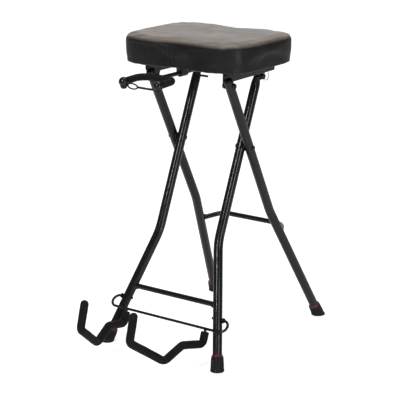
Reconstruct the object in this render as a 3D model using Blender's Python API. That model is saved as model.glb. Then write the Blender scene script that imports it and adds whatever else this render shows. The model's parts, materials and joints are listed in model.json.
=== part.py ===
# Folding guitar stool: two crossed tube frames, a padded seat, a wire cradle with two hooks and a neck yoke.
# Metres, +Z up, X across the stool, -Y is the front. The origin is on the floor between the four feet.
# Run in Blender 4.5: blender --background --python part.py
import math
import random

import bmesh
import bpy
import numpy as np
from mathutils import Vector

random.seed(7)

MM = 0.001
DEG = math.pi / 180

# Main sizes: height of the seat's underside, its height over the scissor bolts, front feet to rear feet
SEAT_UNDER_Z = 702 * MM
SEAT_OVER_PIVOT = 205.2 * MM
STANCE = 474.4 * MM

# Clearances and tolerances
GAP = 0.3 * MM
RUNNING = 0.35 * MM
OVERRUN = 4 * MM

# Tubes and crossed frames
TUBE_R = 11 * MM
TUBE_WALL = 1.4 * MM
PIVOT_Y = -23.3 * MM
PIVOT_Z = SEAT_UNDER_Z - SEAT_OVER_PIVOT
FRONT_TILT = math.atan2(STANCE / 2 + PIVOT_Y, PIVOT_Z)
REAR_TILT = math.atan2(STANCE / 2 - PIVOT_Y, PIVOT_Z)
FRONT_HALF = 89 * MM
FRONT_FOOT_HALF = 169.5 * MM
FRONT_KNEE_Z = 275.8 * MM
REAR_FOOT_HALF = 167 * MM
REAR_KNEE_Z = 314.2 * MM
KNEE_RADIUS = 170 * MM
TUBE_SIDES = 18
KNEE_STEPS = 5
FRAME_SPACE = 3 * MM
REAR_HALF = FRONT_HALF + 2 * TUBE_R + FRAME_SPACE
TUBE_END = 17 * MM
PLUG_DEPTH = 3 * MM

# Flattened and forked tops of the front legs
TAB_THICK = 4.4 * MM
TAB_SPREAD = 2.5 * MM
TAB_HALF = TUBE_R + TAB_SPREAD
TAB_FLAT = 8.5 * MM
TAB_TAPER = 20.5 * MM
TAB_END = 12 * MM
TAB_END_DRAW = 3.5 * MM
TAB_END_HALF = TAB_HALF - TAB_END_DRAW
TAB_POWER = 4.5
FORK_MOUTH_SHARE = 1.6
FORK_STEPS = 8

# Bolts
SCISSOR_BOLT_R = 4 * MM
SEAT_BOLT_R = 4 * MM
HEAD_EDGE = 3.2 * MM
HEAD_H = 4.2 * MM
NUT_EDGE = 3 * MM
NUT_H = 5 * MM
BOLT_SIDES = 14
SPACER_EDGE = 5.5 * MM
TOP_BOLT_R = 2.8 * MM
TOP_HEAD_EDGE = 1.4 * MM
TOP_BOLT_DROP = 17 * MM
TOP_BOLT_REACH = 28.5 * MM
TOP_BOLT_SEAT = 6.2 * MM
TOP_NUT_EDGE = 1.6 * MM
TOP_NUT_H = 4 * MM

# Rubber feet and their rings
FOOT_WALL = 3.6 * MM
FOOT_FLARE = 1.6 * MM
FOOT_TOP_R = TUBE_R + FOOT_WALL
FOOT_BASE_R = FOOT_TOP_R + FOOT_FLARE
FOOT_HEIGHT = 33 * MM
FOOT_SOLE = 8 * MM
FOOT_EDGE = 2 * MM
FOOT_SIDES = 20
RING_WALL = 2.9 * MM
RING_HEIGHT = 7.5 * MM
RING_EDGE = 1.6 * MM

# Crossbars
FRONT_BAR_R = 6.6 * MM
FRONT_BAR_Z = 139.8 * MM
REAR_BAR_R = 6.6 * MM
REAR_BAR_Z = 249 * MM
REAR_BAR_BOW = 58 * MM
REAR_BAR_RISE = 5 * MM
REAR_BAR_INSET = 33 * MM
REAR_BAR_BEND = 22 * MM
BAR_SIDES = 16
BEND_STEPS = 5

# Wire cradle
WIRE_R = 3.3 * MM
CRADLE_PIVOT_Z = 109.9 * MM
CRADLE_ROD_DROP = 20.1 * MM
CRADLE_LOOP_OUT = 19.6 * MM
CRADLE_END_REACH = 3.5 * MM
CRADLE_SIDES = 12
LOOP_STEPS = 10
BUSH_WALL = 2.8 * MM
BUSH_H = 4 * MM
BUSH_GAP = 1.2 * MM
HOOK_INSET = 17.4 * MM
HOOK_CORE_R = 3.2 * MM
HOOK_FOAM_WALL = 6.4 * MM
HOOK_FOAM_START = 5.2 * MM
HOOK_FOAM_TIP = 7 * MM
HOOK_DROP = 35 * MM
HOOK_DROP_FORWARD = 13 * MM
HOOK_STEP_FORWARD = 83 * MM
HOOK_STEP_DROP = 17.4 * MM
HOOK_STEP_INSET = 8.8 * MM
HOOK_VALLEY_FORWARD = 140 * MM
HOOK_VALLEY_DROP = 41.5 * MM
HOOK_CORNER_FORWARD = 233 * MM
HOOK_CORNER_RISE = 31 * MM
HOOK_TIP_FORWARD = 215 * MM
HOOK_TIP_RISE = 92 * MM
HOOK_VALLEY_INSET = 19.5 * MM
HOOK_CORNER_INSET = 47.5 * MM
HOOK_ROOT_BEND = 12 * MM
HOOK_BEND = 15 * MM
HOOK_VALLEY_BEND = 21 * MM
HOOK_SIDES = 14
CORE_SIDES = 8
HOOK_BEND_STEPS = 3
TIP_ANGLE_SHARES = (0.29, 0.57, 0.8)

# Seat
SEAT_WIDTH = 358 * MM
SEAT_DEPTH = 290 * MM
SEAT_CENTRE_Y = -34.1 * MM
SEAT_POWER = 4.6
SEAT_WAIST = 13.5 * MM
SEAT_WAIST_SHARE = 0.27
SEAT_SIDE_HIGH = 63 * MM
SEAT_SIDE_Z = SEAT_UNDER_Z + SEAT_SIDE_HIGH
SEAT_CROWN = 4 * MM
SEAT_SADDLE = 3 * MM
CROWN_SHARES = (0.25, 0.5, 0.75)
SEAT_SIDES = 52
SEAM_DROP = 10 * MM
SEAM_DEPTH = 1.5 * MM
SIDE_BULGE = 2 * MM
SEAT_LIP = 7 * MM
SEAT_SKIRT = 2.5 * MM
SEAT_ROUND = 5 * MM
BOARD_THICK = 10 * MM
EDGE_SOFT = 3 * MM

# Seat brackets
REAR_PIVOT_DROP = 40 * MM
FRONT_PIN_DROP = 42 * MM
BRACKET_PLATE = 2.5 * MM
BRACKET_SIDE_GAP = 1.1 * MM
BRACKET_NOSE = 8.5 * MM
BRACKET_TAIL = 16 * MM
BRACKET_LUG = 8 * MM
BRACKET_LUG_HALF = 9 * MM
BRACKET_WEB = 27 * MM
BRACKET_STEP = 31.5 * MM
BRACKET_OUTER_WEB = 27 * MM
BRACKET_SLOPE = 2 * MM
BRACKET_CORNER = 6 * MM
CORNER_STEPS = 4
SEAT_SCREW_R = 3 * MM
SEAT_SCREW_HEAD_EDGE = 2.6 * MM
SEAT_SCREW_HEAD_H = 2.6 * MM
SEAT_SCREW_BITE = 7 * MM
SCREW_SHARES = (0.3, 0.72)

# Lock pin, its ring and the fixed stud
PIN_HEAD_EDGE = 3.5 * MM
PIN_R = 4 * MM
PIN_HEAD_R = PIN_R + PIN_HEAD_EDGE
PIN_HEAD_H = 7 * MM
PIN_REACH = 17.5 * MM
PIN_CHAMFER = 1 * MM
LOCK_RING_R = 11 * MM
LOCK_WIRE_R = 0.9 * MM
LOCK_RING_HOLE = 2.2 * MM
LOCK_HOLE_SIDES = 8
LOCK_RING_SLACK = 0.9 * MM
LOCK_SIDES = 22
LOCK_WIRE_SIDES = 6
STUD_HEAD_EDGE = 2.5 * MM
STUD_HEAD_R = PIN_R + STUD_HEAD_EDGE
STUD_HEAD_H = 4 * MM

# Neck yoke
YOKE_ARM_R = 5 * MM
YOKE_ARM_CLEAR = 10.2 * MM
YOKE_OUT = 56 * MM
YOKE_HALF = 49.5 * MM
YOKE_REACH = 63.5 * MM
YOKE_SLOPE = 2.6 * DEG
YOKE_CORNER = 24 * MM
YOKE_ROD_R = 3.4 * MM
YOKE_FOAM_WALL = 4.55 * MM
YOKE_FOAM_R = YOKE_ROD_R + GAP + RUNNING + YOKE_FOAM_WALL
YOKE_SIDES = 14
YOKE_BALL_WALL = 7.2 * MM
YOKE_BALL_R = YOKE_ROD_R + YOKE_BALL_WALL
BALL_STEPS = 9
YOKE_BALL_SINK = 8 * MM
YOKE_ARM_BACK = 210 * MM
YOKE_ARM_CHAMFER = 1 * MM
GUIDE_LENGTH = 26 * MM
GUIDE_FRONT_INSET = 12 * MM
GUIDE_REAR_INSET = 150 * MM
GUIDE_HALF = 25 * MM
GUIDE_FLANGE = 3 * MM
GUIDE_WALL = 4 * MM
GUIDE_SCREW_R = 2 * MM
GUIDE_SCREW_HEAD_EDGE = 2 * MM
GUIDE_SCREW_HEAD_H = 2 * MM
GUIDE_SCREW_SHARE = 0.72

# Retaining strap of the yoke
STRAP_THICK = 2.6 * MM
STRAP_HIGH = 4.4 * MM
STRAP_DROP = 5 * MM
EYE_LONG = 27 * MM
EYE_HIGH = 13 * MM
EYE_WALL = 2.6 * MM
EYE_SHARE = 0.31
EYE_SIDES = 28

# Materials: colour, roughness, metallic
LOOKS = {
    "black_powder_coat": ((0.012, 0.012, 0.013), 0.38, 0.0),
    "black_vinyl": ((0.022, 0.021, 0.022), 0.42, 0.0),
    "black_foam": ((0.014, 0.013, 0.013), 0.85, 0.0),
    "black_rubber": ((0.010, 0.010, 0.010), 0.62, 0.0),
    "dark_red_rubber": ((0.14, 0.012, 0.014), 0.5, 0.0),
    "black_fastener": ((0.03, 0.03, 0.032), 0.34, 0.8),
    "steel_wire": ((0.55, 0.55, 0.56), 0.28, 1.0),
    "plywood": ((0.36, 0.25, 0.15), 0.7, 0.0),
}


def clear_scene():
    """Remove what the file holds, so that the script can be run again."""
    for item in list(bpy.data.objects):
        bpy.data.objects.remove(item, do_unlink=True)
    for group in list(bpy.data.collections):
        bpy.data.collections.remove(group)


def new_collection(name):
    """A collection linked to the scene."""
    group = bpy.data.collections.new(name)
    bpy.context.scene.collection.children.link(group)
    return group


def new_material(name):
    """A Principled material with the values in LOOKS."""
    colour, roughness, metallic = LOOKS[name]
    material = bpy.data.materials.new(name)
    material.use_nodes = True
    shader = material.node_tree.nodes["Principled BSDF"]
    shader.inputs["Base Color"].default_value = (*colour, 1)
    shader.inputs["Roughness"].default_value = roughness
    shader.inputs["Metallic"].default_value = metallic
    material.diffuse_color = (*colour, 1)
    return material


def place(name, mesh, look, origin=None, group=None):
    """Turn a bmesh into a named object whose origin is at the given world point."""
    origin = Vector(origin) if origin is not None else Vector((0, 0, 0))
    bmesh.ops.translate(mesh, verts=mesh.verts, vec=-origin)
    bmesh.ops.recalc_face_normals(mesh, faces=mesh.faces)
    data = bpy.data.meshes.new(name)
    mesh.to_mesh(data)
    mesh.free()
    item = bpy.data.objects.new(name, data)
    item.location = origin
    (group or STOOL).objects.link(item)
    if look:
        data.materials.append(MATERIALS[look])
    return item


def skin(rings, start=None, end=None, loop=False):
    """Close a row of rings into one body; start and end are the points that fans close it at."""
    mesh = bmesh.new()
    rows = [[mesh.verts.new(point) for point in ring] for ring in rings]
    count = len(rows[0])
    pairs = list(zip(rows[:-1], rows[1:]))
    if loop:
        pairs.append((rows[-1], rows[0]))
    for low, high in pairs:
        for k in range(count):
            n = (k + 1) % count
            mesh.faces.new((low[k], low[n], high[n], high[k]))
    for row, point in ((rows[0], start), (rows[-1], end)):
        if point is None:
            continue
        tip = mesh.verts.new(point)
        for k in range(count):
            mesh.faces.new((row[k], row[(k + 1) % count], tip))
    return mesh


def circle(centre, u, v, sides, a, b=None, power=2.0):
    """Points of a superellipse with half sizes a along u and b along v; power 2 is an ellipse."""
    b = a if b is None else b
    angle = 2 * math.pi * (np.arange(sides) + 0.5) / sides
    c, s = np.cos(angle), np.sin(angle)
    c = np.sign(c) * np.abs(c) ** (2 / power)
    s = np.sign(s) * np.abs(s) ** (2 / power)
    return [Vector(centre) + Vector(u) * (a * p) + Vector(v) * (b * q) for p, q in zip(c, s)]


def rounded_path(corners, radii, steps):
    """A polyline whose inner corners become arcs of the given radii."""
    corners = [Vector(c) for c in corners]
    path = [corners[0]]
    for before, here, after, radius in zip(corners, corners[1:], corners[2:], radii):
        a = (before - here).normalized()
        b = (after - here).normalized()
        half = a.angle(b) / 2
        reach = radius / math.tan(half)
        centre = here + (a + b).normalized() * (radius / math.sin(half))
        first = here + a * reach - centre
        last = here + b * reach - centre
        turn = first.angle(last)
        for k in range(steps + 1):
            t = k / steps
            share_a = math.sin((1 - t) * turn) / math.sin(turn)
            share_b = math.sin(t * turn) / math.sin(turn)
            path.append(centre + first * share_a + last * share_b)
    path.append(corners[-1])
    return path


def frames(path, hint):
    """Tangent and two side vectors at each point of a path, carried along without twist."""
    rows = []
    u = Vector(hint)
    for k, point in enumerate(path):
        ahead = (path[k + 1] - point).normalized() if k + 1 < len(path) else None
        back = (point - path[k - 1]).normalized() if k else None
        t = ahead if back is None else back if ahead is None else (ahead + back).normalized()
        u = (u - t * u.dot(t)).normalized()
        rows.append((point, t, u, t.cross(u)))
    return rows


def sweep(path, radius, sides, hint):
    """Rings of a round rod along a path."""
    return [circle(p, u, v, sides, radius) for p, t, u, v in frames(path, hint)]


def rod_mesh(path, radius, sides, hint):
    """A solid round rod with flat ends."""
    path = [Vector(p) for p in path]
    return skin(sweep(path, radius, sides, hint), path[0], path[-1])


def turn(profile, origin, axis, sides=BOLT_SIDES, hint=(0, 0, 1), loop=False):
    """A turned piece: profile lists (place along the axis, radius)."""
    axis = Vector(axis).normalized()
    hint = Vector(hint)
    u = (hint - axis * hint.dot(axis)).normalized()
    v = axis.cross(u)
    origin = Vector(origin)
    rings = [circle(origin + axis * s, u, v, sides, r) for s, r in profile]
    if loop:
        return skin(rings, loop=True)
    return skin(rings, origin + axis * profile[0][0], origin + axis * profile[-1][0])


def rounded_outline(corners, radii, steps):
    """Closed 2-D outline with arcs at its corners."""
    points = []
    count = len(corners)
    for k in range(count):
        here = Vector(corners[k])
        a = (Vector(corners[k - 1]) - here).normalized()
        b = (Vector(corners[(k + 1) % count]) - here).normalized()
        radius = radii[k]
        if radius == 0:
            points.append(here)
            continue
        half = a.angle(b) / 2
        reach = radius / math.tan(half)
        centre = here + (a + b).normalized() * (radius / math.sin(half))
        first = here + a * reach - centre
        last = here + b * reach - centre
        arc = first.angle(last)
        for m in range(steps + 1):
            t = m / steps
            share_a = math.sin((1 - t) * arc) / math.sin(arc)
            share_b = math.sin(t * arc) / math.sin(arc)
            points.append(centre + first * share_a + last * share_b)
    return points


def extrude(outline, to_low, to_high):
    """Extrude a closed outline between two placings, each a function from 2-D to world."""
    mesh = bmesh.new()
    low = [mesh.verts.new(to_low(p)) for p in outline]
    high = [mesh.verts.new(to_high(p)) for p in outline]
    mesh.faces.new(low)
    mesh.faces.new(list(reversed(high)))
    for k in range(len(low)):
        n = (k + 1) % len(low)
        mesh.faces.new((low[k], high[k], high[n], low[n]))
    return mesh


def box(low, high):
    """A plain box between two corners."""
    mesh = bmesh.new()
    bmesh.ops.create_cube(mesh, size=1)
    low, high = Vector(low), Vector(high)
    size = high - low
    bmesh.ops.scale(mesh, verts=mesh.verts, vec=size)
    bmesh.ops.translate(mesh, verts=mesh.verts, vec=(low + high) / 2)
    return mesh


def cut(item, mesh, name, operation="DIFFERENCE"):
    """Apply a boolean with a cutter that stays in the cutters collection."""
    tool = place(name, mesh, None, group=CUTTERS)
    tool.display_type = "WIRE"
    tool.hide_render = True
    change = item.modifiers.new(name, "BOOLEAN")
    change.operation = operation
    change.solver = "EXACT"
    change.object = tool
    return tool


def bore(item, name, start, end, radius, sides=BOLT_SIDES):
    """A round hole through an item between two points."""
    start, end = Vector(start), Vector(end)
    length = (end - start).length
    hint = (0, 1, 0) if abs((end - start).y) < length / 2 else (0, 0, 1)
    cut(item, turn([(0, radius), (length, radius)], start, end - start, sides, hint), name)


clear_scene()
STOOL = new_collection("guitar_stool")
CUTTERS = new_collection("cutters")
CUTTERS.hide_render = True
MATERIALS = {name: new_material(name) for name in LOOKS}

# Key points in side view
PIVOT = Vector((0, PIVOT_Y, PIVOT_Z))
FRONT_UP = Vector((0, math.sin(FRONT_TILT), math.cos(FRONT_TILT)))
REAR_UP = Vector((0, -math.sin(REAR_TILT), math.cos(REAR_TILT)))
FRONT_NORMAL = Vector((0, -math.cos(FRONT_TILT), math.sin(FRONT_TILT)))
REAR_NORMAL = Vector((0, math.cos(REAR_TILT), math.sin(REAR_TILT)))


def on_frame(up, z, x):
    """Point of a frame's plane at height z and the given x."""
    return Vector((x, 0, 0)) + PIVOT + up * ((z - PIVOT_Z) / up.z)


REAR_TOP = on_frame(REAR_UP, SEAT_UNDER_Z - REAR_PIVOT_DROP, 0)
FRONT_PIN = on_frame(FRONT_UP, SEAT_UNDER_Z - FRONT_PIN_DROP, 0)
SIDES = (("left", -1), ("right", 1))


def leg_centre(up, knee_z, half, foot_half, z):
    """Centre of a leg at height z below its knee."""
    x = half + (foot_half - half) * (knee_z - z) / knee_z
    return on_frame(up, z, x)


def lower_direction(up, knee_z, half, foot_half, sign):
    """Unit vector up along the lower part of a leg."""
    foot = on_frame(up, 0, sign * foot_half)
    knee = on_frame(up, knee_z, sign * half)
    return (knee - foot).normalized()


# Feet: how far up the leg axis the sole ends
def leg_start(foot, along):
    """End of the tube, inside the rubber foot."""
    return foot + along * ((FOOT_SOLE + TUBE_R * math.hypot(along.x, along.y)) / along.z)


def rear_leg(side, sign):
    """Outer tube with a splayed lower part and a blind top end."""
    foot = on_frame(REAR_UP, 0, sign * REAR_FOOT_HALF)
    knee = on_frame(REAR_UP, REAR_KNEE_Z, sign * REAR_HALF)
    top = REAR_TOP + Vector((sign * REAR_HALF, 0, 0)) + REAR_UP * TUBE_END
    along = (knee - foot).normalized()
    path = rounded_path([leg_start(foot, along), knee, top], [KNEE_RADIUS], KNEE_STEPS)
    outer = sweep(path, TUBE_R, TUBE_SIDES, REAR_NORMAL)
    inner_path = path[:-1] + [top - REAR_UP * PLUG_DEPTH]
    inner = sweep(inner_path, TUBE_R - TUBE_WALL, TUBE_SIDES, REAR_NORMAL)
    mesh = skin(inner[::-1] + outer, inner_path[-1], path[-1])
    item = place(f"rear_leg_{side}", mesh, "black_powder_coat", PIVOT)
    reach = Vector((TUBE_R + OVERRUN, 0, 0))
    for point, radius, tag in ((PIVOT, SCISSOR_BOLT_R, "scissor"), (REAR_TOP, SEAT_BOLT_R, "seat")):
        centre = point + Vector((sign * REAR_HALF, 0, 0))
        bore(item, f"cut_rear_{tag}_{side}", centre - reach, centre + reach, radius + RUNNING)
    return item


def front_leg(side, sign):
    """Inner tube with a splayed lower part and a flattened, forked top."""
    foot = on_frame(FRONT_UP, 0, sign * FRONT_FOOT_HALF)
    knee = on_frame(FRONT_UP, FRONT_KNEE_Z, sign * FRONT_HALF)
    pin = FRONT_PIN + Vector((sign * FRONT_HALF, 0, 0))
    along = (knee - foot).normalized()
    round_end = pin - FRONT_UP * (TAB_FLAT + TAB_TAPER)
    path = rounded_path([leg_start(foot, along), knee, round_end], [KNEE_RADIUS], KNEE_STEPS)
    outer = sweep(path, TUBE_R, TUBE_SIDES, FRONT_NORMAL)
    side_axis = FRONT_UP.cross(FRONT_NORMAL)
    blade = ((pin - FRONT_UP * (TAB_FLAT + TAB_TAPER / 2), (TUBE_R + TAB_HALF) / 2,
              (TUBE_R + TAB_THICK / 2) / 2, (2 + TAB_POWER) / 2),
             (pin - FRONT_UP * TAB_FLAT, TAB_HALF, TAB_THICK / 2, TAB_POWER),
             (pin + FRONT_UP * (TAB_END - TAB_END_HALF / 2), TAB_HALF, TAB_THICK / 2, TAB_POWER),
             (pin + FRONT_UP * TAB_END, TAB_END_HALF, TAB_THICK / 2, TAB_POWER))
    for centre, a, b, power in blade:
        outer.append(circle(centre, FRONT_NORMAL, side_axis, TUBE_SIDES, a, b, power))
    inner = sweep(path, TUBE_R - TUBE_WALL, TUBE_SIDES, FRONT_NORMAL)
    mesh = skin(inner[::-1] + outer, path[-1], blade[-1][0])
    item = place(f"front_leg_{side}", mesh, "black_powder_coat", PIVOT)
    reach = Vector((TUBE_R + OVERRUN, 0, 0))
    centre = PIVOT + Vector((sign * FRONT_HALF, 0, 0))
    bore(item, f"cut_front_scissor_{side}", centre - reach, centre + reach, SCISSOR_BOLT_R + RUNNING)
    # The fork opens along the leg, round at the bottom and wider at its mouth
    wide = PIN_R + RUNNING
    mouth = TAB_END + OVERRUN
    arc = [math.pi * (1 + k / FORK_STEPS) for k in range(FORK_STEPS + 1)]
    outline = [Vector((wide * math.cos(a), wide * math.sin(a))) for a in arc]
    outline += [Vector((wide * FORK_MOUTH_SHARE, mouth)), Vector((-wide * FORK_MOUTH_SHARE, mouth))]
    low, high = pin - reach, pin + reach

    def at(base):
        return lambda p: base + FRONT_NORMAL * p[0] + FRONT_UP * p[1]

    cut(item, extrude(outline, at(low), at(high)), f"cut_fork_{side}")
    # The cradle wire turns in a hole through both walls
    turn_at = leg_centre(FRONT_UP, FRONT_KNEE_Z, FRONT_HALF, FRONT_FOOT_HALF, CRADLE_PIVOT_Z)
    turn_at.x *= sign
    bore(item, f"cut_cradle_{side}", turn_at - reach, turn_at + reach, WIRE_R + RUNNING)
    if side == "left":
        low_bolt = pin - FRONT_UP * TOP_BOLT_DROP
        bore(item, "cut_top_bolt", low_bolt - reach, low_bolt + reach, TOP_BOLT_R + GAP)
        # Flats for the bolt's head and nut
        flat = Vector((TOP_BOLT_SEAT, 0, 0))
        flat_r = TOP_BOLT_R + TOP_NUT_EDGE + GAP
        bore(item, "cut_top_flat_inner", low_bolt + flat, low_bolt + reach, flat_r)
        bore(item, "cut_top_flat_outer", low_bolt - flat, low_bolt - reach, flat_r)
    return item


def foot(tag, side, base, along):
    """Rubber boot with a flat sole, blind bore and rounded rim, and the ring above it."""
    u = Vector((1, 0, 0)).cross(along).normalized()
    v = along.cross(u)

    def ring(s, radius):
        return circle(base + along * s, u, v, FOOT_SIDES, radius)

    def on_floor(points):
        return [p - along * (p.z / along.z) for p in points]

    lean = FOOT_BASE_R * math.hypot(along.x, along.y) / along.z
    bottom = lean + FOOT_EDGE
    bore_r = TUBE_R + GAP + RUNNING
    sole = leg_start(base, along) - along * GAP
    sole_s = (sole - base).length
    rings = [on_floor(ring(0, FOOT_BASE_R - FOOT_EDGE)), ring(bottom, FOOT_BASE_R),
             ring(FOOT_HEIGHT - FOOT_EDGE, FOOT_TOP_R), ring(FOOT_HEIGHT, FOOT_TOP_R - FOOT_EDGE / 2),
             ring(FOOT_HEIGHT, bore_r), ring(sole_s, bore_r)]
    boot = place(f"{tag}_foot_{side}", skin(rings, base, sole), "black_rubber", base)
    s0 = FOOT_HEIGHT + GAP
    s1 = s0 + RING_HEIGHT
    ring_r = TUBE_R + RING_WALL
    profile = [(s0, bore_r), (s0, ring_r - RING_EDGE), (s0 + RING_EDGE, ring_r), (s1 - RING_EDGE, ring_r),
               (s1, ring_r - RING_EDGE), (s1, bore_r)]
    collar = turn(profile, base, along, FOOT_SIDES, u, loop=True)
    place(f"{tag}_foot_ring_{side}", collar, "dark_red_rubber", base)
    return boot


def bolt(name, start, axis, grip, radius, origin):
    """Round head, shank of the grip length and a nut, as one turned piece."""
    head_r = radius + HEAD_EDGE
    nut_r = radius + NUT_EDGE
    profile = [(-HEAD_H, head_r - PIN_CHAMFER), (-HEAD_H + PIN_CHAMFER, head_r), (0, head_r), (0, radius),
               (grip, radius), (grip, nut_r), (grip + NUT_H, nut_r)]
    return place(name, turn(profile, start, axis), "black_fastener", origin)


def frame_joint(side, sign):
    """Scissor bolt and the washer between the two tubes."""
    out = Vector((sign, 0, 0))
    start = PIVOT + out * (FRONT_HALF - TUBE_R - GAP)
    grip = REAR_HALF - FRONT_HALF + 2 * (TUBE_R + GAP)
    bolt(f"scissor_bolt_{side}", start, out, grip, SCISSOR_BOLT_R, PIVOT)
    inner = PIVOT + out * (FRONT_HALF + TUBE_R + GAP)
    thick = FRAME_SPACE - 2 * GAP
    r = SCISSOR_BOLT_R + RUNNING
    outer = SCISSOR_BOLT_R + SPACER_EDGE
    profile = [(0, r), (0, outer), (thick, outer), (thick, r)]
    place(f"scissor_spacer_{side}", turn(profile, inner, out, loop=True), "black_rubber", PIVOT)


def front_crossbar():
    """Straight rod between the front legs, coped to their surfaces."""
    centre = leg_centre(FRONT_UP, FRONT_KNEE_Z, FRONT_HALF, FRONT_FOOT_HALF, FRONT_BAR_Z)
    ends = [Vector((sign * centre.x, centre.y, centre.z)) for name, sign in SIDES]
    item = place("front_crossbar", rod_mesh(ends, FRONT_BAR_R, BAR_SIDES, (0, 0, 1)), "black_powder_coat", PIVOT)
    for name, sign in SIDES:
        cope(item, "front", name, sign, FRONT_UP, FRONT_KNEE_Z, FRONT_HALF, FRONT_FOOT_HALF)


def cope(item, tag, side, sign, up, knee_z, half, foot_half):
    """Cut an item back from a lower leg by the gap."""
    low = on_frame(up, 0, sign * foot_half)
    high = on_frame(up, knee_z, sign * half)
    mesh = turn([(0, TUBE_R + GAP), ((high - low).length, TUBE_R + GAP)], low, high - low, TUBE_SIDES,
                (0, 1, 0))
    cut(item, mesh, f"cut_cope_{tag}_{side}")


def rear_crossbar():
    """Rod between the rear legs that bows to the rear, clear of the folded front legs."""
    end = leg_centre(REAR_UP, REAR_KNEE_Z, REAR_HALF, REAR_FOOT_HALF, REAR_BAR_Z)
    corner = end + Vector((-REAR_BAR_INSET, REAR_BAR_BOW, REAR_BAR_RISE))
    mirror = Vector((-1, 1, 1))
    corners = [end * mirror, corner * mirror, corner, end]
    path = rounded_path(corners, [REAR_BAR_BEND, REAR_BAR_BEND], BEND_STEPS)
    item = place("rear_crossbar", rod_mesh(path, REAR_BAR_R, BAR_SIDES, (0, 0, 1)), "black_powder_coat", PIVOT)
    for name, sign in SIDES:
        cope(item, "rear", name, sign, REAR_UP, REAR_KNEE_Z, REAR_HALF, REAR_FOOT_HALF)


# Cradle: the wire lies on the fronts of the legs and turns in their holes
CRADLE_AT = leg_centre(FRONT_UP, FRONT_KNEE_Z, FRONT_HALF, FRONT_FOOT_HALF, CRADLE_PIVOT_Z)
CRADLE_AXIS = Vector((0, CRADLE_AT.y, CRADLE_AT.z))
ROD_OFFSET = TUBE_R + WIRE_R + GAP
ROD_Z = CRADLE_PIVOT_Z - CRADLE_ROD_DROP
ROD_AT = on_frame(FRONT_UP, ROD_Z - FRONT_NORMAL.z * ROD_OFFSET, 0) + FRONT_NORMAL * ROD_OFFSET


def cradle_wire():
    """Wire across both legs, a half loop at each end and the ends in the legs' holes."""
    half = (CRADLE_AXIS - ROD_AT).length / 2
    middle = (CRADLE_AXIS + ROD_AT) / 2
    rise = (CRADLE_AXIS - ROD_AT).normalized()

    def half_path(sign):
        points = []
        for k in range(LOOP_STEPS + 1):
            a = math.pi * k / LOOP_STEPS
            x = sign * (CRADLE_AT.x + CRADLE_LOOP_OUT + half * math.sin(a))
            points.append(middle + Vector((x, 0, 0)) - rise * (half * math.cos(a)))
        end_x = CRADLE_AT.x - TUBE_R / math.cos(FRONT_TILT) - CRADLE_END_REACH
        points.append(CRADLE_AXIS + Vector((sign * end_x, 0, 0)))
        return points

    path = half_path(-1)[::-1] + half_path(1)
    mesh = rod_mesh(path, WIRE_R, CRADLE_SIDES, (0, 0, 1))
    place("cradle_wire", mesh, "black_powder_coat", CRADLE_AXIS)
    for side, sign in SIDES:
        out = Vector((sign, 0, 0))
        slope = (FRONT_FOOT_HALF - FRONT_HALF) / FRONT_KNEE_Z
        r = WIRE_R + GAP
        outer = r + BUSH_WALL
        start_x = CRADLE_AT.x + TUBE_R * math.hypot(1, slope) + outer * slope + BUSH_GAP
        profile = [(0, r), (0, outer), (BUSH_H - PIN_CHAMFER, outer), (BUSH_H, outer - PIN_CHAMFER), (BUSH_H, r)]
        mesh = turn(profile, CRADLE_AXIS + out * start_x, out, loop=True)
        place(f"cradle_bush_{side}", mesh, "black_rubber", CRADLE_AXIS)


def hook_path(sign):
    """Centre line of a hook from the wire to its tip."""
    table = ((0, HOOK_DROP_FORWARD, -HOOK_DROP), (HOOK_STEP_INSET, HOOK_STEP_FORWARD, -HOOK_STEP_DROP),
             (HOOK_VALLEY_INSET, HOOK_VALLEY_FORWARD, -HOOK_VALLEY_DROP),
             (HOOK_CORNER_INSET, HOOK_CORNER_FORWARD, HOOK_CORNER_RISE),
             (HOOK_CORNER_INSET, HOOK_TIP_FORWARD, HOOK_TIP_RISE))
    hook_x = CRADLE_AT.x - HOOK_INSET
    weld = ROD_AT + Vector((sign * hook_x, 0, 0))
    points = [ROD_AT + Vector((sign * (hook_x - inset), -forward, rise)) for inset, forward, rise in table]
    points.insert(0, weld + (points[0] - weld).normalized() * (WIRE_R + GAP))
    bends = [HOOK_ROOT_BEND, HOOK_VALLEY_BEND, HOOK_VALLEY_BEND, HOOK_BEND]
    return rounded_path(points, bends, HOOK_BEND_STEPS)


def trimmed(path, start, end):
    """The path without its first and last lengths."""
    lengths = [0]
    for a, b in zip(path, path[1:]):
        lengths.append(lengths[-1] + (b - a).length)
    total = lengths[-1]

    def at(s):
        k = max(i for i, value in enumerate(lengths[:-1]) if value <= s)
        share = (s - lengths[k]) / (lengths[k + 1] - lengths[k])
        return path[k].lerp(path[k + 1], share)

    inner = [p for p, s in zip(path, lengths) if start + WIRE_R / 2 < s < total - end - WIRE_R / 2]
    return [at(start)] + inner + [at(total - end)]


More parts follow.
